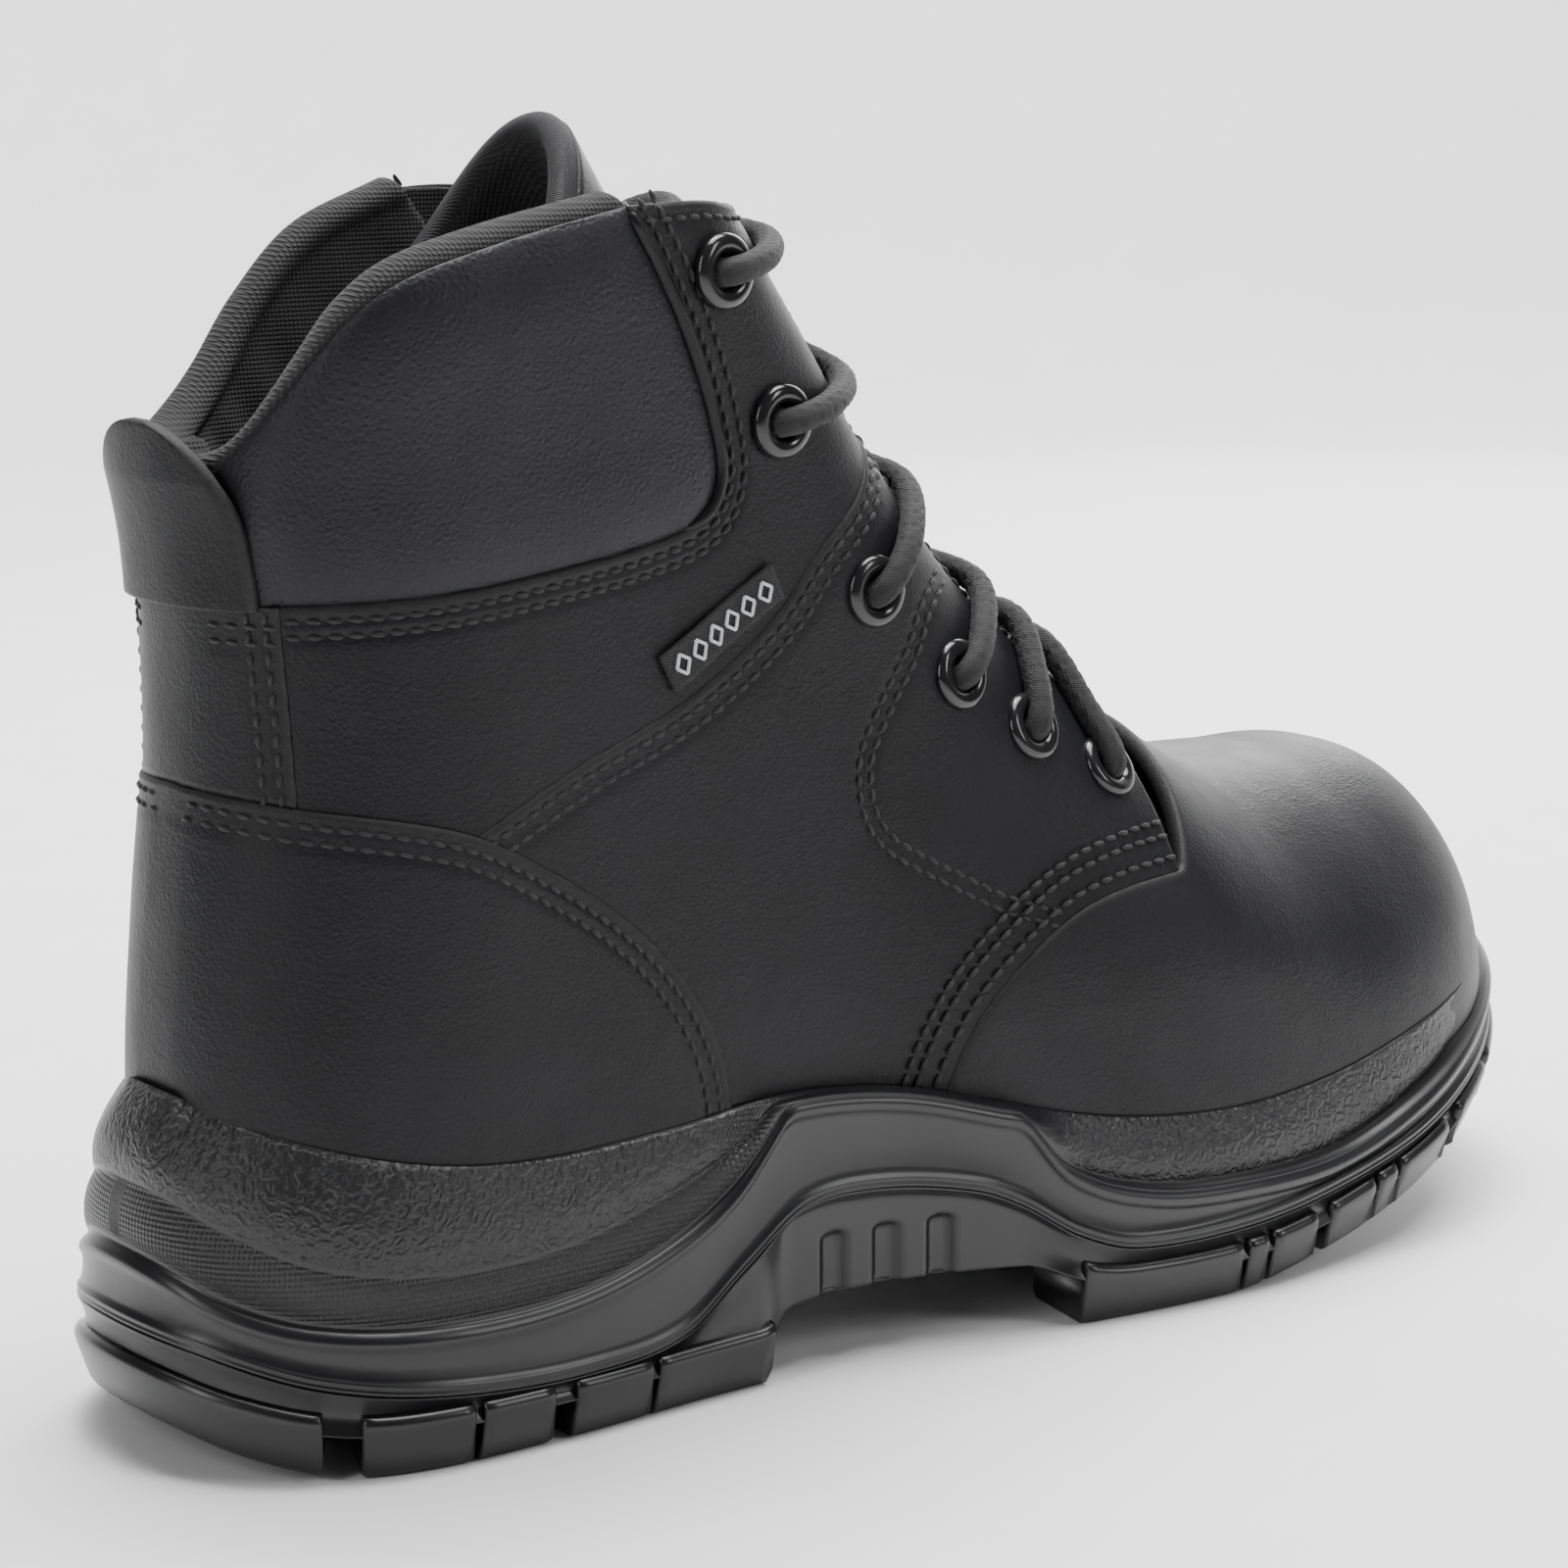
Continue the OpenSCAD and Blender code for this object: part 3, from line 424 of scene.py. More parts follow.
def offset_line(line, side, lift, offset):
    """A line moved sideways within the upper's surface; positive is to its right, seen from outside."""
    q = resample(line, max(int(length_of(line) / 0.8), 8))
    p = skin(q, side, -lift)
    t = np.gradient(p, axis=0)
    t /= np.linalg.norm(t, axis=1, keepdims=True)
    across = np.cross(t, outward(q, side)) * (-side)
    return q + offset * across[:, [0, 2]]


def stitch_row(line, side, lift, offset, slant=0.12):
    """Adds a row of stitches beside a line, and returns the row as points of the surface."""
    q = offset_line(line, side, lift, offset) if offset else np.asarray(line, float)
    p = skin(q, side, -lift)
    count = max(int(length_of(p) / STITCH_PITCH), 2)
    q = resample(np.concatenate([q, p], 1), 2 * count + 1)[1::2, :2]
    p = skin(q, side, -lift)
    t = np.gradient(p, axis=0)
    t /= np.linalg.norm(t, axis=1, keepdims=True)
    n = outward(q, side)
    b = np.cross(t, n)
    t = t + slant * b
    t /= np.linalg.norm(t, axis=1, keepdims=True)
    stitches.append((p - 0.12 * n, t, n, np.cross(t, n)))
    return resample(p, max(int(length_of(p) / 0.7), 8))


def build_stitches():
    """Every stitch as a small bead that dips into the leather at both ends."""
    rings, around = 7, 8
    s = np.linspace(-1, 1, rings)
    fat = np.sqrt(np.maximum(1 - s ** 2, 0.03)) ** 0.7
    g = np.arange(around) * 2 * math.pi / around
    shape = np.stack([np.repeat(s * STITCH_LENGTH / 2, around),
                      (fat[:, None] * np.sin(g) * STITCH_RADIUS).ravel()
                      - np.repeat(0.3 * s ** 2, around),
                      (fat[:, None] * np.cos(g) * STITCH_RADIUS).ravel()], 1)
    i, k = np.meshgrid(np.arange(rings - 1), np.arange(around), indexing="ij")
    m = (k + 1) % around
    walls = np.stack([i * around + k, (i + 1) * around + k, (i + 1) * around + m, i * around + m], -1)
    faces = walls.reshape(-1, 4).tolist()
    faces += [list(range(around)), [(rings - 1) * around + x for x in range(around)]]
    c, t, n, b = [np.concatenate(part) for part in zip(*stitches)]
    points = (c[:, None] + shape[None, :, :1] * t[:, None] + shape[None, :, 1:2] * n[:, None]
              + shape[None, :, 2:] * b[:, None])
    every = [[v + i * len(shape) for v in face] for i in range(len(c)) for face in faces]
    return new_object("stitching", points, every)


# ---------------------------------------------------------------- leather panels
GROOVE_DEPTH, GROOVE_WIDTH, CUT_EDGE = 0.34, 0.9, 0.75


def relief(points, raised, rows):
    """How far a panel's face sinks near its rounded edges and along its stitch rows."""
    sink, edge = np.zeros(points.shape[:-1]), np.zeros(points.shape[:-1])
    if raised:
        d = nearest(points, np.concatenate(raised))
        edge = np.exp(-(d / CUT_EDGE) ** 2)
        d = np.clip(d, 0, EDGE_ROUND)
        sink += EDGE_ROUND - np.sqrt(EDGE_ROUND ** 2 - (EDGE_ROUND - d) ** 2)
    if rows:
        d = nearest(points, np.concatenate(rows))
        sink += GROOVE_DEPTH * np.exp(-(d / GROOVE_WIDTH) ** 2)
    return sink, edge


def dense(line, side, lift):
    p = skin(np.asarray(line, float), side, -lift)
    return resample(p, max(int(length_of(p) / 0.4), 8))


def faces_of(q, side, lift, raised, rows, inner, puff=None):
    """A panel's outer and inner points on one side of the boot."""
    edges = [dense(line, side, lift) for line in raised]
    level = skin(q, side, -float(lift))
    sink, edge = relief(level, edges, rows)
    bulge = 0 if puff is None else puff
    return skin(q, side, sink - lift - bulge), skin(q, side, float(inner)), edge


def over_top(parts):
    """Both sides as one grid, meeting in each row's last point."""
    return [np.concatenate([a, b[:, -2::-1]], axis=1) for a, b in zip(*parts)]


def round_back(parts):
    """Both sides as one grid, meeting in the first row."""
    return [np.concatenate([a[::-1], b[1:]], axis=0) for a, b in zip(*parts)]


def both_sides(make):
    return [make(LATERAL), make(MEDIAL)]


def build_vamp():
    lift = 1.8
    q = vamp_grid(steps(165, "end", (True, False)), steps(86, "end", (False, False)))
    seam = joined(whole(VAMP_SEAM), whole(THROAT_SEAM))

    def part(side):
        rows = [stitch_row(span(VAMP_SEAM, 0, 6, 60), side, lift, -offset) for offset in (2.6, 6.4, 8.9)]
        return faces_of(q, side, lift, [seam], rows, 1.2)
    return sheet("vamp_leather", *over_top(both_sides(part)), merge=0.004)


def build_counter():
    lift = 1.8
    q = counter_grid(steps(100, "start", (False, True)), steps(72, None, (False, True)))

    def part(side):
        rows = [stitch_row(whole(COUNTER_SEAM), side, lift, offset) for offset in (2.4, 4.9)]
        return faces_of(q, side, lift, [whole(COUNTER_SEAM, 120)], rows, 1.2)
    return sheet("heel_counter_leather", *round_back(both_sides(part)), merge=0.004)


def build_backstay():
    lift = 1.2
    q = backstay_grid(steps(24, "start", (False, True)), steps(30, None, (False, True)))

    def part(side):
        rows = [stitch_row(whole(BACKSTAY_SEAM), side, lift, -offset) for offset in (2.2, 4.7)]
        top = np.array([[-136.6, 136.4], [-130.5, 136.4]], float)
        rows += [stitch_row(top, side, lift, offset) for offset in (1.6, 4.2)]
        return faces_of(q, side, lift, [whole(BACKSTAY_SEAM)], rows, 1.0)
    return sheet("backstay_leather", *round_back(both_sides(part)), merge=0.004)


def build_quarter(side):
    lift = 1.2
    q = quarter_grid(steps(150), steps(62))
    upper = joined(whole(DIAGONAL_SEAM), facing_edge(-18.5, 29))
    rows = [stitch_row(whole(DIAGONAL_SEAM), side, lift, offset) for offset in (2.4, 4.9)]
    rows += [stitch_row(facing_edge(-18.5, 29), side, lift, 2.6)]
    rows += [stitch_row(whole(FACING_STITCH), side, lift, offset) for offset in (0, 2.5)]
    front = whole(FACING_END)
    return sheet("quarter_leather_" + SIDE_NAMES[side],
                 *faces_of(q, side, lift, [upper, front], rows, 1.0))


def build_ankle(side):
    lift = 0.7
    q = ankle_grid(steps(120), steps(66))
    edge = joined(facing_edge(-18.5, -45), whole(FACING_TOP))
    rows = [stitch_row(span(COLLAR_SEAM, 0, 9, 90), side, lift, offset) for offset in (2.4, 4.9)]
    rows += [stitch_row(edge, side, lift, -2.6)]
    return sheet("ankle_leather_" + SIDE_NAMES[side],
                 *faces_of(q, side, lift, [edge, whole(COLLAR_SEAM, 120)], rows, 1.0))


def build_collar(side):
    """The padded collar's outer leather swells between its seams."""
    u, v = steps(100, "start"), steps(52)
    q = collar_grid(u, v, side)
    rim = whole(COLLAR_EDGE if side == LATERAL else FAR_COLLAR_EDGE)
    edges = np.concatenate([dense(whole(COLLAR_SEAM), side, 0), dense(rim, side, 0)])
    d = nearest(skin(q, side), edges)
    puff = 3.2 * np.sqrt(1 - (1 - np.clip(d / 15, 0, 1)) ** 2)
    puff = puff * ease(12, 24, half(q[..., 0], q[..., 1], side))
    return sheet("collar_leather_" + SIDE_NAMES[side],
                 *faces_of(q, side, -0.3, [], [], 1.6, puff))


# ---------------------------------------------------------------- collar roll, lining and welt
def build_collar_lining():
    """Mesh that rolls over the collar's edge and runs down inside, with soft upright folds."""
    v = np.linspace(1, 0, 34)
    u = 1 - np.cos(np.linspace(0, math.pi / 2, 90))

    def part(side):
        top = collar_grid(u, np.array([1.0]), side)[:, 0]
        below = collar_grid(u, np.array([0.96]), side)[:, 0]
        edge, n = skin(top, side), outward(top, side)
        up = edge - skin(below, side)
        up /= np.linalg.norm(up, axis=1, keepdims=True)
        g = np.linspace(0, math.pi, 18)
        reach = (COLLAR_LINING_TOP + 0.8) / 2
        over = [edge + up * (3.4 * math.sin(a) ** 0.7 - 0.9) - n * (reach * (1 - math.cos(a)) + 0.1)
                for a in g]
        q = collar_grid(u, v, side)[:, 1:]
        fold = np.sin(np.linspace(0, 17 * math.pi, len(u)))[:, None] * np.sin(np.linspace(0, 2.6, 33))
        pad = 2.4 * np.sin(np.linspace(0.15, math.pi, 33))[None]
        depth = COLLAR_LINING_TOP + 0.3 + pad * 0.6 + 0.55 * fold
        outer = np.concatenate([np.stack(over, 1), skin(q, side, depth)], axis=1)
        thin_over = [edge + up * (2.6 * math.sin(a) ** 0.7 - 1.3)
                     - n * (reach * (1 - 0.82 * math.cos(a)) + 0.1) for a in g]
        inner = np.concatenate([np.stack(thin_over, 1), skin(q, side, depth - 0.9)], axis=1)
        return outer, inner
    return sheet("collar_roll_and_lining", *round_back(both_sides(part)), merge=0.004)


def build_piping(side):
    """The welt down the collar's front edge."""
    q = span(COLLAR_SEAM, 3.2, 9, 90)
    k = np.arange(len(q))
    depth = -0.6 + 3.2 * (1 - ease(0, 16, k)) + 2.4 * ease(len(q) - 5, len(q) - 1, k)
    return tube("collar_welt_" + SIDE_NAMES[side], skin(q, side, depth), 1.25, 12)


LININGS = {
    "lining_vamp": (vamp_grid, "end", "end", "top"),
    "lining_heel": (counter_grid, "start", None, "back"),
}


def build_linings():
    """The knitted lining behind every panel, piece by piece."""
    made = {}
    for name, (grid, tight_u, tight_v, join) in LININGS.items():
        q = grid(steps(140, tight_u, (False, False))[::3], steps(80, tight_v, (False, False))[::2])

        def part(side, q=q):
            return skin(q, side, LINING_TOP), skin(q, side, LINING_TOP + 1.0)
        parts = both_sides(part)
        made[name] = sheet(name + "_mesh", *(over_top(parts) if join == "top" else round_back(parts)),
                           merge=0.004)
    for side in (LATERAL, MEDIAL):
        word = SIDE_NAMES[side]
        for name, q in (("lining_quarter_", quarter_grid(steps(150)[::3], steps(62)[::2])),
                        ("lining_ankle_", ankle_grid(steps(120)[::3], steps(66)[::2],
                                                     heel_ridge(108, 138), 0))):
            made[name + word] = sheet(name + word + "_mesh", skin(q, side, LINING_TOP),
                                      skin(q, side, LINING_TOP + 1.0))
    return made


# ---------------------------------------------------------------- tongue
TONGUE_DIR = np.array([-0.8, -0.6])


TONGUE_TAPER = 0.10


def tongue_point(s, a, t, over=0.0):
    """s runs from the stitched base to the top, a is the angle round the instep."""
    x = 50 - 107 * s
    r = np.stack([x, ridge_z(x)], -1)
    deep = 30 + 16 * ease(0.5, 1, s)
    e = r + deep[..., None] * TONGUE_DIR
    wide = half(e[..., 0], e[..., 1], MEDIAL) - TONGUE_TOP_DEPTH - 1.4
    wide = wide * (1 - TONGUE_TAPER * ease(0.78, 1.0, s))
    d = TONGUE_TOP_DEPTH + t + (deep + over - TONGUE_TOP_DEPTH - t) * (1 - np.cos(a))
    along, up = TONGUE_DIR
    return np.stack([r[..., 0] + along * d, (wide - t) * np.sin(a), r[..., 1] + up * d], -1)


def top_of_tongue(a):
    """The tongue's top is an arch, lower at its two corners."""
    return 0.985 - 0.055 * np.abs(np.sin(a)) ** 2.5


def tongue_grid(nu, nv, low=0.0):
    a = np.radians(np.linspace(-88, 88, nv))[None] * np.ones((nu, 1))
    s = (low + (top_of_tongue(a) - low) * np.linspace(0, 1, nu)[:, None])
    return s, a


TAPE_WIDTH, TAPE_THICK = 9.0, 5.2


def tape(name, route, inward, width, thick):
    """A tape folded over an edge: a flat rounded section that reaches inward from the route."""
    t = np.gradient(route, axis=0)
    t /= np.linalg.norm(t, axis=1, keepdims=True)
    across = inward - route
    across -= np.sum(across * t, axis=1, keepdims=True) * t
    across /= np.linalg.norm(across, axis=1, keepdims=True)
    n = np.cross(t, across)
    rings = []
    for g in np.linspace(0, 2 * math.pi, 28, endpoint=False):
        c, d = math.cos(g), math.sin(g)
        wide = math.copysign(abs(c) ** 0.7, c) * width / 2 + width / 2 - 2.2
        rings.append(route + across * wide + n * math.copysign(abs(d) ** 0.8, d) * thick / 2)
    rings = np.stack(rings, axis=1)
    return stacked(name, list(rings))


def build_tongue():
    """Padded leather face, mesh back and a twill binding rolled over the edge."""
    s, a = tongue_grid(120, 90)
    puff = 1.1 * np.sin(np.clip(s * 1.02, 0, 1) * math.pi) ** 0.5 * np.cos(a) ** 0.6
    wrinkle = 0.25 * np.sin(s * 46 + 2 * np.cos(a * 2)) * ease(0.2, 0.4, s) * (1 - ease(0.75, 0.9, s))
    face = sheet("tongue_face", tongue_point(s, a, 0.2 - puff * 0.5 - wrinkle), tongue_point(s, a, 1.4))
    s, a = tongue_grid(70, 60)
    pad = 0.8 * np.sin(s * math.pi * 5) * np.cos(a)
    back = sheet("tongue_mesh_back", tongue_point(s, a, 4.8 + 0 * s), tongue_point(s, a, 5.6 + pad * 0.4))
    s = np.linspace(0.3, 0.90, 60)
    angle = math.radians(88)
    up = tongue_point(s, np.full(60, angle), 3.0, 0.6)
    up_in = tongue_point(s, np.full(60, angle - 0.3), 3.0)
    angles = np.radians(np.linspace(84, -84, 70))
    across = tongue_point(top_of_tongue(angles), angles, 3.0) + np.array([-0.4, 0, 0.6])
    across_in = tongue_point(top_of_tongue(angles) - 0.07, angles * 0.97, 3.0)
    route = np.concatenate([up, across, up[::-1] * [1, -1, 1]])
    inward = np.concatenate([up_in, across_in, up_in[::-1] * [1, -1, 1]])
    route, inward = (span(resample(r, 70), 0, 69, 400) for r in (route, inward))
    binding = tape("tongue_binding_tape", route, inward, TAPE_WIDTH, TAPE_THICK)
    return face, back, binding


# ---------------------------------------------------------------- pull tab
TAB_HEIGHT, TAB_FOOT, TAB_MIDDLE = 27.5, 19.5, 19


def back_curve(y):
    """How far forward the heel's surface lies at y."""
    return 44 * (1 - (1 - (np.abs(y) / ANKLE_HALF) ** 2.25) ** (1 / 2.25))


def build_tab():
    """A strap of leather that leaves the backstay and leans away from the collar, round at its top."""
    v = np.linspace(-0.05, 1, 64)
    wide = TAB_FOOT - (TAB_FOOT - TAB_MIDDLE) * ease(-0.1, 0.55, v)
    wide = wide * np.sqrt(np.maximum(1 - (np.clip(v - 0.35, 0, 1) / 0.65) ** 2.2, 0.01))
    w = np.linspace(-1, 1, 45)
    y = wide[:, None] * w[None]
    z = (138.6 + TAB_HEIGHT * v)[:, None] + 0 * w[None]
    rim = np.minimum((1 - np.abs(w))[None] * wide[:, None], ((1 - v) * TAB_HEIGHT)[:, None])
    thin = 0.9 - np.sqrt(0.81 - (0.9 - np.clip(rim, 0, 0.9)) ** 2)
    out = 1.2 + 0.6 * np.clip(v, 0, 1)[:, None] ** 2
    lean = 1 - 0.25 * ease(0.2, 1.0, v)[:, None]

    def face(t):
        return np.stack([heel_x(np.minimum(z, 157)) - out - t + lean * back_curve(y), y, z], -1)
    return sheet("pull_tab_leather", face(2.2 - thin), face(thin * 0.4), np.exp(-(rim / CUT_EDGE) ** 2))


# ---------------------------------------------------------------- eyelets and lace
def place_on_skin(place, side):
    q = np.array(place, float)
    p, n = skin(q, side), outward(q, side)
    a = np.cross(n, [0, 0, 1.0])
    a /= np.linalg.norm(a)
    return p, n, a, np.cross(n, a)


def build_eyelets():
    """Painted rolled eyelets, pressed through the facing."""
    g = np.linspace(0, math.pi, 13)
    low, high, middle = 0.7, 2.5, (EYELET_BORE + EYELET_FLANGE) / 2
    r = (EYELET_FLANGE - EYELET_BORE) / 2
    roll = [[middle + r * math.cos(x), low + (high - low) * math.sin(x) ** 0.7] for x in g]
    profile = np.array(roll + [[EYELET_BORE, -1], [EYELET_BORE, -6.2], [EYELET_BORE + 2.4, -6.6],
                               [EYELET_BORE + 2.4, -6.0], [EYELET_BORE + 0.7, -5.6],
                               [EYELET_BORE + 0.7, 0.4], [EYELET_FLANGE - 0.4, 0.4]])
    turn = np.arange(48) * 2 * math.pi / 48
    points, faces = [], []
    k, m = len(profile), len(turn)
    for side in (LATERAL, MEDIAL):
        for place in EYELET_PLACES:
            p, n, a, b = place_on_skin(place, side)
            start = len(points) * k * m
            ring = (a[None] * np.cos(turn)[:, None] + b[None] * np.sin(turn)[:, None])
            points.append(p + profile[:, None, :1] * ring[None] + profile[:, None, 1:] * n)
            for i in range(k):
                for j in range(m):
                    i2, j2 = (i + 1) % k, (j + 1) % m
                    row, row2 = start + i * m, start + i2 * m
                    faces.append([row + j, row + j2, row2 + j2, row2 + j])
    return new_object("eyelet_rings", np.array(points), faces)


UNDER = LINING_TOP + 1.0 + 0.6 + LACE_D / 2
LACE_EDGE_X = [-40, -24, -10, 7, 16, 23]


def throat_point(x, y, depth):
    return np.array([x - 0.8 * depth, y, ridge_z(x) - 0.6 * depth])


def eyelet_at(i, side, depth):
    return skin(np.array(EYELET_PLACES[i], float), side, depth)


def edge_at(x, side, depth):
    return skin(facing_point(x), side, depth)


TAIL_LINE = [[-48, 181], [-51, 172], [-52.3, 162], [-51, 150]]


def tail(side):
    return [skin(np.array(p, float), side, UNDER) for p in TAIL_LINE]


def crossing(i, side, over):
    """Out of an eyelet, over its facing's edge, across the tongue and under the other facing."""
    a = LACE_EDGE_X[i]
    b = -45 if i == 0 else 0.35 * a + 0.65 * LACE_EDGE_X[i - 1]
    third = (a - b) / 4
    middle = (np.array(EYELET_PLACES[i], float) + facing_point(a)) / 2
    points = [eyelet_at(i, side, 5.0), eyelet_at(i, side, -2.6), skin(middle, side, -3.1),
              edge_at(a, side, -3.7),
              throat_point(a - third, side * 10, 0.8 if over else 2.5),
              throat_point((a + b) / 2, 0, 0.8 if over else 5.8),
              throat_point(b + third, -side * 10, 4.5 if over else 7.2), edge_at(b, -side, UNDER)]
    return points + (tail(-side) if i == 0 else [eyelet_at(i - 1, -side, UNDER)])


def lace_route():
    def strand(side, over):
        points = []
        for i in range(5, -1, -1):
            points += crossing(i, side, over)
            side = -side
        return points
    low = [eyelet_at(5, LATERAL, UNDER)] + [throat_point(42, 20 * w, 8.2) for w in (-1, -0.5, 0, 0.5, 1)]
    low += [eyelet_at(5, MEDIAL, UNDER)]
    return np.array(strand(LATERAL, True)[::-1] + low + strand(MEDIAL, False))


def build_lace():
    """A round braid: two families of strands wind round the core and cross."""
    route = lace_route()
    route = span(route, 0, len(route) - 1, 6 * (len(route) - 1))
    count = int(length_of(route) / 0.55)
    route = resample(route, count)
    sides = 24
    s = np.linspace(0, length_of(route), count)[:, None]
    g = (np.arange(sides) * 2 * math.pi / sides)[None]
    turn = 2 * math.pi / 26.0
    one, two = np.abs(np.sin(4 * (g + turn * s))), np.abs(np.sin(4 * (g - turn * s)))
    over = np.sin(8 * turn * s) * np.sin(8 * g)
    braid = np.where(over > 0, one, two) ** 0.6
    return tube("lace_braid", route, LACE_D / 2 * (0.78 + 0.25 * braid), sides)


# ---------------------------------------------------------------- side label
def build_label():
    """A small woven tag sewn into the diagonal seam, with a row of plain diamonds."""
    low, high = np.array([[-69, 125.5], [-66, 119.5]]), np.array([[-46.5, 138.8], [-44, 133]])
    u, v = np.linspace(0, 1, 40), np.linspace(0, 1, 14)
    q = patch(np.array([low[1], high[1]]), np.array([high[1], high[0]]), np.array([low[0], high[0]]),
              np.array([low[1], low[0]]), u, v)
    curl = 1.7 + 0.25 * np.sin(u * 7)[:, None] + 0 * v
    tag = sheet("side_tag_cloth", skin(q, LATERAL, -curl), skin(q, LATERAL, -curl + 0.7))
    threads = []
    for k in range(6):
        centre = 0.12 + 0.152 * k
        for a, b in (((-0.055, 0), (0, 0.28)), ((0, 0.28), (0.055, 0)),
                     ((0.055, 0), (0, -0.28)), ((0, -0.28), (-0.055, 0))):
            threads.append([[centre + a[0], 0.5 + a[1]], [centre + b[0], 0.5 + b[1]]])
    pieces = []
    for ends in threads:
        uv = np.linspace(ends[0], ends[1], 5)
        p = np.array([patch(np.array([low[1], high[1]]), np.array([high[1], high[0]]),
                            np.array([low[0], high[0]]), np.array([low[1], low[0]]),
                            np.array([x]), np.array([y]))[0, 0] for x, y in uv])
        pieces.append(skin(p, LATERAL, -(1.9 + 0.25 * np.sin(uv[:, 0] * 7))))
    return tag, pieces


# ---------------------------------------------------------------- the sole's outline in plan
def sole_half(x, side):
    return (curve(SOLE_OUT if side < 0 else SOLE_IN, x) * swell((x - HEEL_END) / 46, 2.3)
            * swell((TOE_END - x) / 68, 2.2))


def make_outline():
    """The closed outline from the heel's middle along the outer side to the toe and back."""
    t = np.linspace(0, 1, 1500)
    x = (HEEL_END + TOE_END) / 2 - (TOE_END - HEEL_END) / 2 * np.cos(math.pi * t)
    outer = np.stack([x, middle_y(x) - sole_half(x, LATERAL)], 1)
    inner = np.stack([x, middle_y(x) + sole_half(x, MEDIAL)], 1)[::-1]
    p = np.concatenate([outer, inner[1:]])
    s = np.r_[0, np.cumsum(np.linalg.norm(np.diff(p, axis=0), axis=1))]
    return s, p, len(outer)


OUTLINE_S, OUTLINE, OUTER_COUNT = make_outline()


def outline_at(s):
    """Points and outward directions of the outline at distances s along it."""
    total = OUTLINE_S[-1]
    s = np.asarray(s, float) % total

    def read(d):
        d = d % total
        return np.stack([np.interp(d, OUTLINE_S, OUTLINE[:, k]) for k in range(2)], -1)
    t = read(s + 1.0) - read(s - 1.0)
    t /= np.linalg.norm(t, axis=-1, keepdims=True)
    return read(s), np.stack([t[..., 1], -t[..., 0]], -1)


def outline_s(x, side):
    if side < 0:
        return np.interp(x, OUTLINE[:OUTER_COUNT, 0], OUTLINE_S[:OUTER_COUNT])
    return np.interp(-x, -OUTLINE[OUTER_COUNT:, 0], OUTLINE_S[OUTER_COUNT:])


def stations():
    """Paired distances along the outline, outer side then inner side, finer at the arch."""
    x = [HEEL_END + 0.02]
    while x[-1] < TOE_END - 0.02:
        end = min(x[-1] - HEEL_END, TOE_END - x[-1])
        fine = 0.75 if -46 < x[-1] < -6 else 1.8
        x.append(x[-1] + min(fine, 0.08 + 0.35 * math.sqrt(max(end, 0)) * 0.9))
    x = np.array(x[:-1] + [TOE_END - 0.02])
    return x, np.concatenate([outline_s(x, LATERAL), outline_s(x[::-1], MEDIAL)])


STATION_X, STATION_S = stations()
RING_XY, RING_OUT = outline_at(STATION_S)
RING_X = np.concatenate([STATION_X, STATION_X[::-1]])


def wall_ring(outset, z):
    xy = RING_XY + RING_OUT * np.asarray(outset, float).reshape(-1, 1)
    return np.concatenate([xy, (z + 0 * RING_X)[:, None]], 1)


def upper_ring(depth, drop):
    """A ring round the foot of the upper, paired with the sole's stations."""
    a, b = heel_x(45) - 0.2 + depth, TOE_TIP + 0.2 - depth
    x = a + (b - a) * (RING_X - HEEL_END) / (TOE_END - HEEL_END)
    side = np.concatenate([np.full(len(STATION_X), LATERAL), np.full(len(STATION_X), MEDIAL)])
    z = rim_z(x) - drop
    q = np.clip(x, heel_x(z) + 0.8, TOE_TIP - 0.8)
    w = np.maximum(half(q, z, side) * np.where(np.abs(x - q) > 0, 0.6, 1) - depth, 0.5)
    return np.stack([x, middle_y(x) + side * w, z], 1)


# Lower edges of the textured bands on the wall, and the start of the smooth part
WORM_EDGE = [[-153, 45], [-146, 39.5], [-135, 34], [-117, 31], [-95, 31], [-75, 35], [-59, 41], [-50, 50]]
KNURL_EDGE = [[-153, 35], [-146, 29.5], [-136, 26], [-117, 24], [-95, 24], [-75, 28], [-59, 36], [-47, 50]]
PEBBLE_EDGE = [[-4, 42], [6, 30], [22, 23.5], [43, 21.5], [69, 22], [93, 28], [115, 35], [134, 41.5],
               [153, 46]]


def band_lines():
    """Heights on the wall, from the rim down, at every station."""
    x = RING_X
    rim, part = rim_z(x), curve(PARTING_LINE, x)
    front = ease(-26, -25, x)
    worm = np.where(x < -50, curve(WORM_EDGE, x), rim)
    knurl = np.where(x < -47, curve(KNURL_EDGE, x), rim)
    worm = worm * (1 - front) + np.where(x > -4, curve(PEBBLE_EDGE, x), rim) * front
    knurl = knurl * (1 - front) + worm * front
    one = np.clip(worm, part + 5, rim - 0.6)
    two = np.clip(knurl, part + 4.4, one - 0.3)
    three = np.maximum(two - 3.4, part + 2.6)
    return [rim - 0.5, one, two, three, part + 2.2, part]


def tier(rings, z_high, z_low, count, bulge, inset=0.0, power=0.6):
    """Adds the rings of one bulging band of the wall; inset runs from its upper to its lower value."""
    high, low = inset if isinstance(inset, tuple) else (inset, inset)
    for k in range(count):
        s = (k + 0.5) / count
        outset = bulge * math.sin(math.pi * s) ** power - (high + (low - high) * s)
        rings.append(wall_ring(outset, z_high + (z_low - z_high) * s))


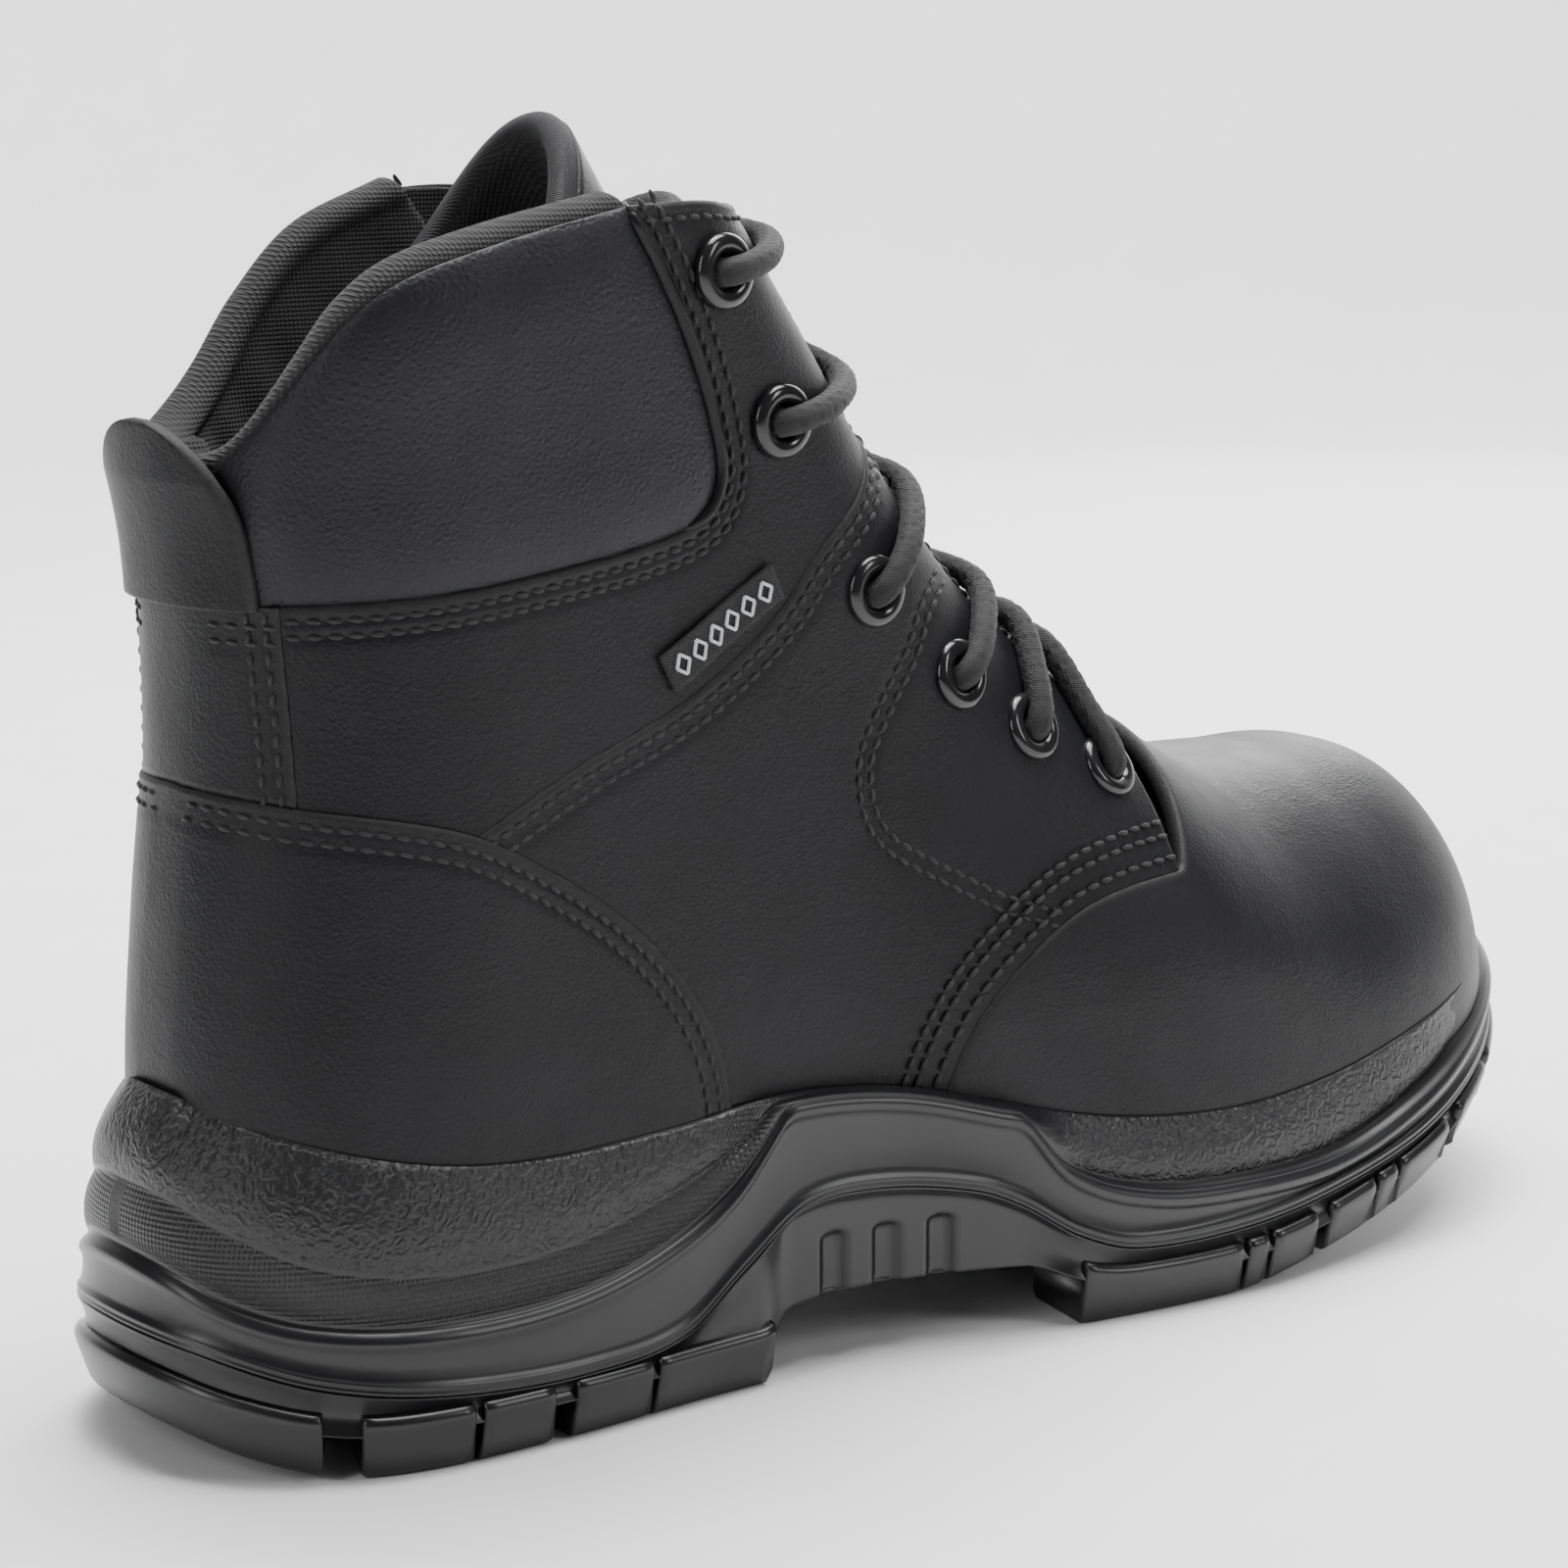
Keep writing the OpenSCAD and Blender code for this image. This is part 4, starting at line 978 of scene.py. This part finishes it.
def shoulder(rings, z_high, z_low, count, bulge, inset):
    """Adds the rounded top band, which leans from the leather out to the wall."""
    near = upper_ring(-2.3, 0.0)
    for _ in range(12):
        near = (np.roll(near, 1, axis=0) + 2 * near + np.roll(near, -1, axis=0)) / 4
    for k in range(count):
        s = (k + 0.5) / count
        out = math.sin(s * math.pi / 2) ** 0.75
        far = wall_ring(bulge * math.sin(math.pi * s) ** 0.8 - inset, z_high + (z_low - z_high) * s)
        ring = near * (1 - out) + far * out
        ring[:, 2] = far[:, 2]
        rings.append(ring)


def build_midsole():
    z = band_lines()
    rings = [upper_ring(2.5, TUCK + 3), upper_ring(0.8, 2.0), upper_ring(-1.5, 0.4), upper_ring(-2.0, 0.0)]
    heel = 1 - ease(-62, -48, RING_X)
    textured = np.maximum(heel, ease(-2, 12, RING_X))
    marks = [len(rings)]
    shoulder(rings, z[0], z[1], 16, 0.2 + 0.9 * textured, 2.8 * textured + 0.6)
    marks.append(len(rings))
    tier(rings, z[1], z[2], 10, 0.2 + 1.2 * heel, (2.8 * heel + 0.5, 1.7 * heel + 0.5))
    marks.append(len(rings))
    tier(rings, z[2], z[3], 8, 1.2, (1.7 * heel + 0.6, 0.9))
    marks.append(len(rings))
    tier(rings, z[3], z[4], 10, -0.3, (0.7, 0.2), 1.0)
    for high, low in ((0, 0.5), (0.5, 1)):
        top, under = z[4] + (z[5] - z[4]) * high, z[4] + (z[5] - z[4]) * low
        tier(rings, top, under, 5, 0.4, 0.1)
    rings.append(wall_ring(-1.5, z[5]))
    rings.append(wall_ring(-9.0, z[5]))
    piece = stacked("midsole_wall", rings)
    paint_bands(piece, rings, marks, textured, heel)
    return piece


def paint_bands(piece, rings, marks, textured, heel):
    """Stores where each moulded texture lies, for the material."""
    k = len(RING_X)
    worm, knurl = np.zeros(len(rings) * k), np.zeros(len(rings) * k)
    for r in range(len(rings)):
        part = slice(r * k, (r + 1) * k)
        if marks[0] <= r < marks[1] - 1:
            toward = ease(-66, -54, RING_X) * heel
            worm[part] = textured * (1 - toward)
            knurl[part] = toward
        if marks[1] <= r < marks[2] - 1:
            knurl[part] = heel
    along = np.tile(STATION_S * MM, len(rings))
    for name, values in (("worm", worm), ("knurl", knurl), ("along", along)):
        attribute = piece.data.attributes.new(name, "FLOAT", "POINT")
        attribute.data.foreach_set("value", values.astype(np.float32))


ARCH_SLOTS = [-37, -27, -17]


def build_outsole():
    """The base of the tread with the recessed arch wall and its moulded slots."""
    part, base = curve(PARTING_LINE, RING_X), curve(BASE_LINE, RING_X)
    arch = ease(-54, -46, RING_X) * (1 - ease(-2, 9, RING_X))
    rings = [wall_ring(-9.0, part - 0.1), wall_ring(-0.6, part - 0.1)]
    count = 26
    for k in range(count + 1):
        s = k / count
        z = part + (base - part) * s - 0.1
        outset = 0.3 - 1.2 * math.sin(math.pi * s) * (1 - arch) - arch * (0.6 + 3.0 * ease(0, 0.15, s))
        for slot_x in ARCH_SLOTS:
            across = np.clip((np.abs(RING_X - slot_x) - 1.6) / 1.2, 0, 1)
            along = np.clip((z - 21.5 - 1.2 * np.cos(np.clip(RING_X - slot_x, -3, 3) / 2)) / 1.2, 0, 1)
            outset = outset - 1.8 * (1 - np.maximum(across, along)) * arch
        rings.append(wall_ring(outset, z))
    rings.append(wall_ring(-2.2 - 2.6 * arch, base - 0.3))
    rings.append(wall_ring(-12.0, base))
    return stacked("outsole_base", rings)


SIDE_LUGS = [[-129, -111], [-109.4, -96.2], [-92, -76.8], [-75.4, -51.5], [9, 42.5], [44, 48.5], [50, 61],
             [65, 77], [78.4, 83.5], [85, 101], [106, 121], [124, 139]]
ROUND_LUGS = {"heel": -134.5, "toe": 143}
LUG_WIDTH = 19.0


def lug_section(x, width):
    """Outset and height of a lug's section, from its inner top round its outer face."""
    tread, base = np.maximum(curve(TREAD_LINE, np.clip(x, -153, 153)), 0), curve(BASE_LINE, x)
    tread = np.where((x > 8) & (x < 16), 0.0, tread)
    return [(-width, base + 1.0), (-0.8, base + 3.4), (0.5, base + 3.0), (1.0, base + 2.0),
            (0.9, base + 0.8), (-1.2, tread + 1.4), (-1.9, tread + 0.4), (-2.8, tread),
            (-width + 1.0, tread), (-width, tread + 0.8)]


def lug(s_from, s_to, width=LUG_WIDTH):
    """Points of one tread lug along the outline, with softened ends."""
    n = max(int(abs(s_to - s_from) / 2.0), 3)
    s = np.linspace(s_from, s_to, n + 1)
    s = np.sort(np.concatenate([s, [s_from + 0.5, s_to - 0.5]]))
    xy, out = outline_at(s)
    ends = np.zeros(len(s))
    ends[[0, -1]] = 0.5
    section = lug_section(xy[:, 0], width)
    rows = []
    for k, (outset, z) in enumerate(section):
        inward = outset - np.where(outset > -1, ends, -ends)
        height = z + (ends if k in (6, 7, 8, 9) else 0)
        level = np.broadcast_to(height, s.shape)[:, None]
        rows.append(np.concatenate([xy + out * inward[:, None], level], 1))
    return np.stack(rows, 1)


def loop_faces(count, k, start):
    faces = [[start + i * k + j, start + i * k + (j + 1) % k, start + (i + 1) * k + (j + 1) % k,
              start + (i + 1) * k + j] for i in range(count - 1) for j in range(k)]
    return faces + [[start + j for j in range(k)], [start + (count - 1) * k + j for j in range(k)]]


def build_lugs():
    total = OUTLINE_S[-1]
    blocks = []
    for a, b in SIDE_LUGS:
        blocks.append(lug(outline_s(a, LATERAL), outline_s(b, LATERAL)))
        blocks.append(lug(outline_s(b, MEDIAL), outline_s(a, MEDIAL)))
    blocks.append(lug(outline_s(ROUND_LUGS["toe"], LATERAL), outline_s(ROUND_LUGS["toe"], MEDIAL)))
    heel = outline_s(ROUND_LUGS["heel"], LATERAL)
    blocks.append(lug(outline_s(ROUND_LUGS["heel"], MEDIAL) - total, heel))
    points, faces, start = [], [], 0
    for block in blocks:
        count, k = block.shape[:2]
        points.append(block.reshape(-1, 3))
        faces += loop_faces(count, k, start)
        start += count * k
    piece = new_object("tread_lugs", np.concatenate(points), faces, smooth=True)
    return piece


def build_inner_tread():
    """Blocks down the middle of the tread: bars under the heel, chevrons under the ball."""
    points, faces = [], []
    blocks = [(x, 12, 17, 0) for x in (-121, -102, -83, -64)]
    blocks += [(x, 9, 25 - abs(x - 60) / 8, 6) for x in (20, 35, 50, 65, 80, 95, 109)]
    blocks += [(124, 9, 15, 4)]
    for x, long_way, wide, point in blocks:
        middle = middle_y(x)
        plan = [(x - long_way / 2 - point, -wide), (x - long_way / 2, 0), (x - long_way / 2 - point, wide),
                (x + long_way / 2 - point, wide), (x + long_way / 2, 0), (x + long_way / 2 - point, -wide)]
        start = len(points)
        for inset, at_tread, lift in ((0, False, 0), (0, True, 0.8), (0.8, True, 0)):
            for px, py in plan:
                toward = (x - px) * inset / long_way
                base = curve(BASE_LINE, px) + 1.0
                z = max(float(curve(TREAD_LINE, px)), 0) + lift if at_tread else base
                points.append([px + toward, middle + py * (1 - inset / wide), z])
        for r in range(2):
            for i in range(6):
                j = (i + 1) % 6
                row = start + r * 6
                faces.append([row + i, row + j, row + 6 + j, row + 6 + i])
        for r in (0, 2):
            o = start + r * 6
            faces += [[o, o + 1, o + 4, o + 5], [o + 1, o + 2, o + 3, o + 4]]
    return new_object("tread_middle_blocks", np.array(points), faces, smooth=False)


def build_footbed():
    """A cupped insole whose rim rises round the heel."""
    x = np.linspace(heel_x(45) + 8, TOE_TIP - 9.5, 90)
    v = np.linspace(-1, 1, 41)
    xs = x[:, None] + 0 * v[None]
    side = np.where(v < 0, LATERAL, MEDIAL)[None] + 0 * xs
    w = np.maximum(half(xs, rim_z(xs) - TUCK, side) - 8.0, 2)
    ends = np.sqrt(np.clip(1 - (2 * (x - x[0]) / (x[-1] - x[0]) - 1) ** 8, 0.02, 1))[:, None]
    cup = 2.5 * np.abs(v[None]) ** 4 * (1 - ease(-40, 60, xs))
    y = middle_y(xs) + v[None] * w * ends
    top = np.stack([xs, y, rim_z(xs) - TUCK + 4.6 + cup], -1)
    bottom = np.stack([xs, y, rim_z(xs) - TUCK + 0.4], -1)
    return sheet("footbed_top", top, bottom)


# ---------------------------------------------------------------- materials
def nodes_of(material):
    material.use_nodes = True
    tree = material.node_tree
    return tree, tree.nodes["Principled BSDF"]


def add(tree, kind, **values):
    node = tree.nodes.new(kind)
    for key, value in values.items():
        if key in node.inputs:
            node.inputs[key].default_value = value
        else:
            setattr(node, key, value)
    return node


def object_coordinates(tree):
    return tree.nodes.new("ShaderNodeTexCoord").outputs["Object"]


def colour_ramp(tree, source, stops):
    ramp = tree.nodes.new("ShaderNodeValToRGB")
    elements = ramp.color_ramp.elements
    while len(elements) < len(stops):
        elements.new(0.5)
    for element, (place, colour) in zip(elements, stops):
        element.position = place
        element.color = (*colour, 1)
    tree.links.new(source, ramp.inputs["Fac"])
    return ramp.outputs["Color"]


def remap(tree, source, low, high):
    node = tree.nodes.new("ShaderNodeMapRange")
    node.inputs["To Min"].default_value = low
    node.inputs["To Max"].default_value = high
    tree.links.new(source, node.inputs["Value"])
    return node.outputs["Result"]


def bump(tree, height, distance, strength=1.0, normal=None):
    node = tree.nodes.new("ShaderNodeBump")
    node.inputs["Distance"].default_value = distance
    node.inputs["Strength"].default_value = strength
    tree.links.new(height, node.inputs["Height"])
    if normal is not None:
        tree.links.new(normal, node.inputs["Normal"])
    return node.outputs["Normal"]


def noise(tree, where, scale, detail=4.0, roughness=0.55):
    node = add(tree, "ShaderNodeTexNoise", Scale=scale, Detail=detail, Roughness=roughness)
    tree.links.new(where, node.inputs["Vector"])
    return node.outputs["Fac"]


def cells(tree, where, scale, feature="F1"):
    node = tree.nodes.new("ShaderNodeTexVoronoi")
    node.feature = feature
    node.inputs["Scale"].default_value = scale
    tree.links.new(where, node.inputs["Vector"])
    return node.outputs["Distance"]


def waves(tree, where, scale, direction, distortion=0.0):
    node = tree.nodes.new("ShaderNodeTexWave")
    node.bands_direction = direction
    node.inputs["Scale"].default_value = scale
    node.inputs["Distortion"].default_value = distortion
    tree.links.new(where, node.inputs["Vector"])
    return node.outputs["Fac"]


def combine(tree, operation, a, b):
    node = tree.nodes.new("ShaderNodeMath")
    node.operation = operation
    for k, value in enumerate((a, b)):
        if isinstance(value, (int, float)):
            node.inputs[k].default_value = value
        else:
            tree.links.new(value, node.inputs[k])
    return node.outputs["Value"]


def mark_on_mesh(tree, name):
    """A value that the mesh carries at its points."""
    node = tree.nodes.new("ShaderNodeAttribute")
    node.attribute_name = name
    return node.outputs["Fac"]


def roughness_from(tree, shader, value):
    tree.links.new(value, shader.inputs["Roughness"])


CUT_COLOUR = (0.030, 0.028, 0.028)


def leather(name, dark, light, grain, grain_depth, rough, pebble=0.0):
    """Dyed leather: pores, faint creases, cloudy colour and uneven polish."""
    material = bpy.data.materials.new(name)
    tree, shader = nodes_of(material)
    where = object_coordinates(tree)
    cloud = noise(tree, where, 38, 5)
    dyed = colour_ramp(tree, cloud, [(0.3, dark), (0.7, light)])
    fray = remap(tree, noise(tree, where, 900, 3), 0.2, 1.3)
    frayed = combine(tree, "MULTIPLY", mark_on_mesh(tree, "edge"), fray)
    mix = tree.nodes.new("ShaderNodeMix")
    mix.data_type = "RGBA"
    mix.clamp_factor = True
    tree.links.new(frayed, mix.inputs[0])
    tree.links.new(dyed, mix.inputs[6])
    mix.inputs[7].default_value = (*CUT_COLOUR, 1)
    tree.links.new(mix.outputs[2], shader.inputs["Base Color"])
    polish = remap(tree, noise(tree, where, 90, 6), rough - 0.07, rough + 0.09)
    roughness_from(tree, shader, combine(tree, "ADD", polish, combine(tree, "MULTIPLY", frayed, 0.25)))
    normal = bump(tree, noise(tree, where, 160, 3), 0.0004, 0.35)
    if pebble:
        normal = bump(tree, cells(tree, where, pebble, "DISTANCE_TO_EDGE"), 0.00022, 0.8, normal)
    pores = cells(tree, where, grain)
    normal = bump(tree, pores, grain_depth, 0.6, normal)
    tree.links.new(normal, shader.inputs["Normal"])
    shader.inputs["Specular IOR Level"].default_value = 0.24
    return material


KNURL_PITCH = 0.0017


def rubber():
    """Moulded polyurethane: smooth satin, with worm and knurled bands where the wall is marked."""
    material = bpy.data.materials.new("midsole_polyurethane")
    tree, shader = nodes_of(material)
    where = object_coordinates(tree)
    cloud = noise(tree, where, 25, 4)
    tree.links.new(colour_ramp(tree, cloud, [(0.3, (0.004, 0.004, 0.005)), (0.7, (0.007, 0.007, 0.0085))]),
                   shader.inputs["Base Color"])
    worm, knurl, along = (mark_on_mesh(tree, name) for name in ("worm", "knurl", "along"))
    swirl = combine(tree, "MULTIPLY", noise(tree, where, 560, 1.0, 0.5), 5.5)
    squiggle = combine(tree, "PINGPONG", swirl, 1.0)
    normal = bump(tree, combine(tree, "MULTIPLY", squiggle, worm), 0.0002, 0.8)
    split = tree.nodes.new("ShaderNodeSeparateXYZ")
    tree.links.new(where, split.inputs["Vector"])
    lines = []
    for operation in ("ADD", "SUBTRACT"):
        slanted = combine(tree, operation, along, split.outputs["Z"])
        turned = combine(tree, "MULTIPLY", slanted, 2 * math.pi / KNURL_PITCH)
        lines.append(combine(tree, "SINE", turned, 0))
    points = combine(tree, "MULTIPLY", *lines)
    normal = bump(tree, combine(tree, "MULTIPLY", points, knurl), 0.0002, 0.9, normal)
    normal = bump(tree, noise(tree, where, 500, 3), 0.00006, 0.5, normal)
    tree.links.new(normal, shader.inputs["Normal"])
    textured = combine(tree, "MAXIMUM", worm, knurl)
    smudge = remap(tree, noise(tree, where, 60, 5), 0.26, 0.40)
    tree.links.new(combine(tree, "ADD", smudge, combine(tree, "MULTIPLY", textured, 0.12)),
                   shader.inputs["Roughness"])
    return material


def plain_moulded(name, dark, light, rough, scale=400, depth=0.00006, metallic=0.0):
    """A moulded or coated surface with a fine skin and uneven polish."""
    material = bpy.data.materials.new(name)
    tree, shader = nodes_of(material)
    where = object_coordinates(tree)
    tree.links.new(colour_ramp(tree, noise(tree, where, 30, 5), [(0.3, dark), (0.7, light)]),
                   shader.inputs["Base Color"])
    roughness_from(tree, shader, remap(tree, noise(tree, where, 70, 6), rough - 0.06, rough + 0.08))
    tree.links.new(bump(tree, noise(tree, where, scale, 4), depth, 0.6), shader.inputs["Normal"])
    shader.inputs["Metallic"].default_value = metallic
    return material


def cloth(name, dark, light, scale, depth, rough=0.85, diagonal=False, sheen=0.06):
    """Woven or knitted cloth: two crossing sets of threads with fuzz and cloudy dye."""
    material = bpy.data.materials.new(name)
    tree, shader = nodes_of(material)
    where = object_coordinates(tree)
    one = waves(tree, where, scale, "DIAGONAL" if diagonal else "X", 0.6)
    two = waves(tree, where, scale, "Z", 0.6)
    if diagonal:
        weave = combine(tree, "MAXIMUM", one, combine(tree, "MULTIPLY", two, 0.5))
    else:
        weave = combine(tree, "MULTIPLY", one, two)
    dye = combine(tree, "MULTIPLY", noise(tree, where, 60, 4), 0.5)
    colour = combine(tree, "ADD", combine(tree, "MULTIPLY", weave, 0.7), dye)
    tree.links.new(colour_ramp(tree, colour, [(0.25, dark), (0.85, light)]), shader.inputs["Base Color"])
    normal = bump(tree, noise(tree, where, 2500, 2), 0.0001, 0.4)
    tree.links.new(bump(tree, weave, depth, 0.9, normal), shader.inputs["Normal"])
    roughness_from(tree, shader, remap(tree, noise(tree, where, 200, 3), rough - 0.06, rough + 0.08))
    shader.inputs["Sheen Weight"].default_value = sheen
    shader.inputs["Sheen Roughness"].default_value = 0.5
    return material


BLACK, CHARCOAL = (0.0028, 0.0028, 0.0036), (0.0060, 0.0060, 0.0077)
MATERIALS = {
    "upper_leather": leather("upper_leather_full_grain", BLACK, CHARCOAL, 1500, 0.00012, 0.46),
    "collar_leather": leather("collar_leather_pebbled", (0.006, 0.006, 0.0075),
                              (0.011, 0.011, 0.0135), 1300, 0.00008, 0.46, 800),
    "edge_piping": leather("welt_leather", (0.002, 0.002, 0.0025), (0.004, 0.004, 0.005), 1500,
                           0.00008, 0.40),
    "twill_binding": cloth("twill_tape", (0.002, 0.002, 0.003), (0.007, 0.007, 0.010), 900, 0.00015,
                           0.7, True),
    "mesh_lining": cloth("spacer_mesh", (0.0015, 0.0015, 0.002), (0.009, 0.009, 0.011), 420, 0.0004),
    "foam": plain_moulded("open_cell_foam", (0.45, 0.40, 0.22), (0.60, 0.54, 0.32), 0.9, 900, 0.0004),
    "board": plain_moulded("pressed_fibre_board", (0.50, 0.46, 0.38), (0.62, 0.58, 0.48), 0.85, 700,
                           0.0002),
    "woven_plate": cloth("aramid_weave", (0.45, 0.42, 0.28), (0.72, 0.68, 0.48), 300, 0.0003),
    "toecap_steel": plain_moulded("coated_steel", (0.26, 0.27, 0.29), (0.38, 0.39, 0.41), 0.4, 300,
                                  0.00005, 0.6),
    "toecap_rubber": plain_moulded("toecap_edging_rubber", (0.03, 0.03, 0.03), (0.06, 0.06, 0.06), 0.6),
    "midsole_pu": rubber(),
    "outsole_pu": plain_moulded("outsole_polyurethane", (0.003, 0.003, 0.004), (0.006, 0.006, 0.007), 0.30),
    "footbed_fabric": cloth("felt_footbed", (0.015, 0.015, 0.018), (0.040, 0.040, 0.046), 500, 0.0002),
    "eyelet_paint": plain_moulded("eyelet_enamel", (0.006, 0.006, 0.007), (0.011, 0.011, 0.012), 0.16, 250,
                                  0.00002),
    "lace_braid": cloth("lace_yarn", (0.002, 0.002, 0.0025), (0.009, 0.009, 0.011), 900, 0.0001, 0.75),
    "aglet_plastic": plain_moulded("aglet_film", (0.015, 0.015, 0.016), (0.025, 0.025, 0.026), 0.2),
    "label_weave": cloth("label_ribbon", (0.002, 0.002, 0.003), (0.007, 0.007, 0.009), 700, 0.0002, 0.75),
}
THREAD = cloth("sewing_thread", (0.002, 0.002, 0.003), (0.007, 0.007, 0.009), 1600, 0.00008, 0.6)
PALE_THREAD = cloth("pale_thread", (0.45, 0.46, 0.48), (0.72, 0.73, 0.75), 1600, 0.00005, 0.7)


# ---------------------------------------------------------------- camera, light and floor
def build_camera():
    """The camera stands behind the boot's outer side, a little above it."""
    azimuth, elevation, distance = math.radians(-38.78), math.radians(10.61), 0.7035
    back = Vector((math.sin(azimuth) * math.cos(elevation), -math.cos(azimuth) * math.cos(elevation),
                   math.sin(elevation)))
    data = bpy.data.cameras.new("camera")
    data.sensor_width, data.lens = 36.0, 89.6
    data.shift_x, data.shift_y = -0.046, -0.033
    data.clip_start, data.clip_end = 0.01, 50
    camera = bpy.data.objects.new("camera", data)
    camera.location = Vector((0, 0, 0.1)) + back * distance
    camera.rotation_mode = "QUATERNION"
    camera.rotation_quaternion = (-back).to_track_quat("-Z", "Y")
    bpy.context.scene.collection.objects.link(camera)
    bpy.context.scene.camera = camera


def area_light(name, place, size, power, target=(0, 0, 0.1)):
    data = bpy.data.lights.new(name, "AREA")
    data.shape, data.size, data.size_y, data.energy = "RECTANGLE", size[0], size[1], power
    light = bpy.data.objects.new(name, data)
    light.location = place
    light.rotation_mode = "QUATERNION"
    light.rotation_quaternion = (Vector(target) - Vector(place)).to_track_quat("-Z", "Y")
    bpy.context.scene.collection.objects.link(light)


# The backdrop's direction from the boot, and its sizes in millimetres
BACKDROP_TURN = math.radians(51)
FLOOR_FLAT, BACKDROP_REACH, BACKDROP_HEIGHT = 1400, 900, 2200


def build_floor():
    """A pale floor that sweeps up into a backdrop on the far side from the camera."""
    r = np.concatenate([np.linspace(0, FLOOR_FLAT, 12),
                        FLOOR_FLAT + BACKDROP_REACH * np.linspace(0.05, 1, 24)])
    a = np.linspace(0, 2 * math.pi, 96, endpoint=False)
    facing = ease(0.2, 0.75, np.cos(a - BACKDROP_TURN))
    rise = np.clip((r - FLOOR_FLAT) / BACKDROP_REACH, 0, 1)[:, None] ** 1.8
    height = BACKDROP_HEIGHT * rise * facing[None]
    points = np.stack([r[:, None] * np.cos(a), r[:, None] * np.sin(a), height], -1)
    faces = []
    count = len(a)
    for i in range(1, len(r) - 1):
        for j in range(count):
            k = (j + 1) % count
            faces.append((i * count + j, i * count + k, (i + 1) * count + k, (i + 1) * count + j))
    faces.append(tuple(count + j for j in range(count)))
    return new_object("floor", points, faces)



def build_studio():
    floor = build_floor()
    floor.data.materials.append(plain_moulded("pale_floor", (0.90, 0.90, 0.90), (0.93, 0.93, 0.93), 0.8, 60,
                                              0.0001))
    world = bpy.data.worlds.new("studio")
    bpy.context.scene.world = world
    world.use_nodes = True
    background = world.node_tree.nodes["Background"]
    background.inputs["Color"].default_value = (1, 1, 1, 1)
    background.inputs["Strength"].default_value = 0.12
    area_light("top", (0.2, 0.1, 1.5), (1.4, 1.0), 52)
    area_light("key", (0.7, -1.3, 0.9), (0.3, 0.7), 7)
    area_light("left", (-1.3, -0.2, 0.7), (0.25, 0.9), 6)
    area_light("rim", (1.0, 0.7, 0.7), (0.4, 0.8), 9)
    area_light("backdrop", (0.2, 0.3, 1.9), (0.6, 0.6), 40, (1.4, 1.7, 0.3))


# ---------------------------------------------------------------- the whole boot
def dress_upper():
    hide = MATERIALS["upper_leather"]
    dress(build_vamp(), hide, "boot", "upper_leather", "vamp")
    dress(build_counter(), hide, "boot", "upper_leather", "heel_counter")
    dress(build_backstay(), hide, "boot", "upper_leather", "backstay")
    for side in (LATERAL, MEDIAL):
        word = SIDE_NAMES[side]
        dress(build_quarter(side), hide, "boot", "upper_leather", "quarter_" + word)
        dress(build_ankle(side), hide, "boot", "upper_leather", "ankle_panel_" + word)
        collar = dress(build_collar(side), MATERIALS["collar_leather"], "boot", "collar_leather",
                       "collar_panel_" + word)
        dress(build_piping(side), MATERIALS["edge_piping"], "boot", "edge_piping", "collar_piping")
    dress(build_tab(), hide, "tab", "upper_leather", "pull_tab")


def dress_inside():
    lining = MATERIALS["mesh_lining"]
    roll = dress(build_collar_lining(), lining, "boot", "mesh_lining", "collar_lining", "collar_foam")
    for node, piece in build_linings().items():
        dress(piece, lining, "boot", "mesh_lining", node)
    dress(build_footbed(), MATERIALS["footbed_fabric"], "insole", "footbed_fabric", "footbed")
    face, back, binding = build_tongue()
    dress(face, MATERIALS["upper_leather"], "tongue", "upper_leather", "tongue_leather", "tongue_foam")
    dress(back, lining, "tongue", "mesh_lining", "tongue_lining")
    dress(binding, MATERIALS["twill_binding"], "tongue", "twill_binding", "tongue_binding")


def dress_sole():
    dress(build_midsole(), MATERIALS["midsole_pu"], "boot", "midsole_pu", "midsole")
    dress(build_outsole(), MATERIALS["outsole_pu"], "boot", "outsole_pu", "outsole")
    dress(build_lugs(), MATERIALS["outsole_pu"], "boot", "outsole_pu", "outsole")
    dress(build_inner_tread(), MATERIALS["outsole_pu"], "boot", "outsole_pu", "outsole")


def dress_trim():
    dress(build_eyelets(), MATERIALS["eyelet_paint"], "boot", "eyelet_paint", "eyelets")
    dress(build_lace(), MATERIALS["lace_braid"], "boot", "lace_braid", "lace")
    tag, threads = build_label()
    dress(tag, MATERIALS["label_weave"], "boot", "label_weave", "side_label")
    for k, line in enumerate(threads):
        dress(tube(f"tag_thread_{k}", line, 0.3, 6), PALE_THREAD, "boot", "label_weave")
    dress(build_stitches(), THREAD, "boot", "upper_leather")


def finish_hidden_parts():
    """Inner parts keep their designed shape and get their own finish."""
    slots = {row["node"]: row["material_slot"] for row in frame["record"]["subparts"]}
    for name, piece in frame["nodes"].items():
        if not piece.hide_render:
            piece.data.materials.clear()
            piece.data.materials.append(MATERIALS[slots[name]])


build_camera()
build_studio()
dress_upper()
dress_inside()
dress_sole()
dress_trim()
finish_hidden_parts()
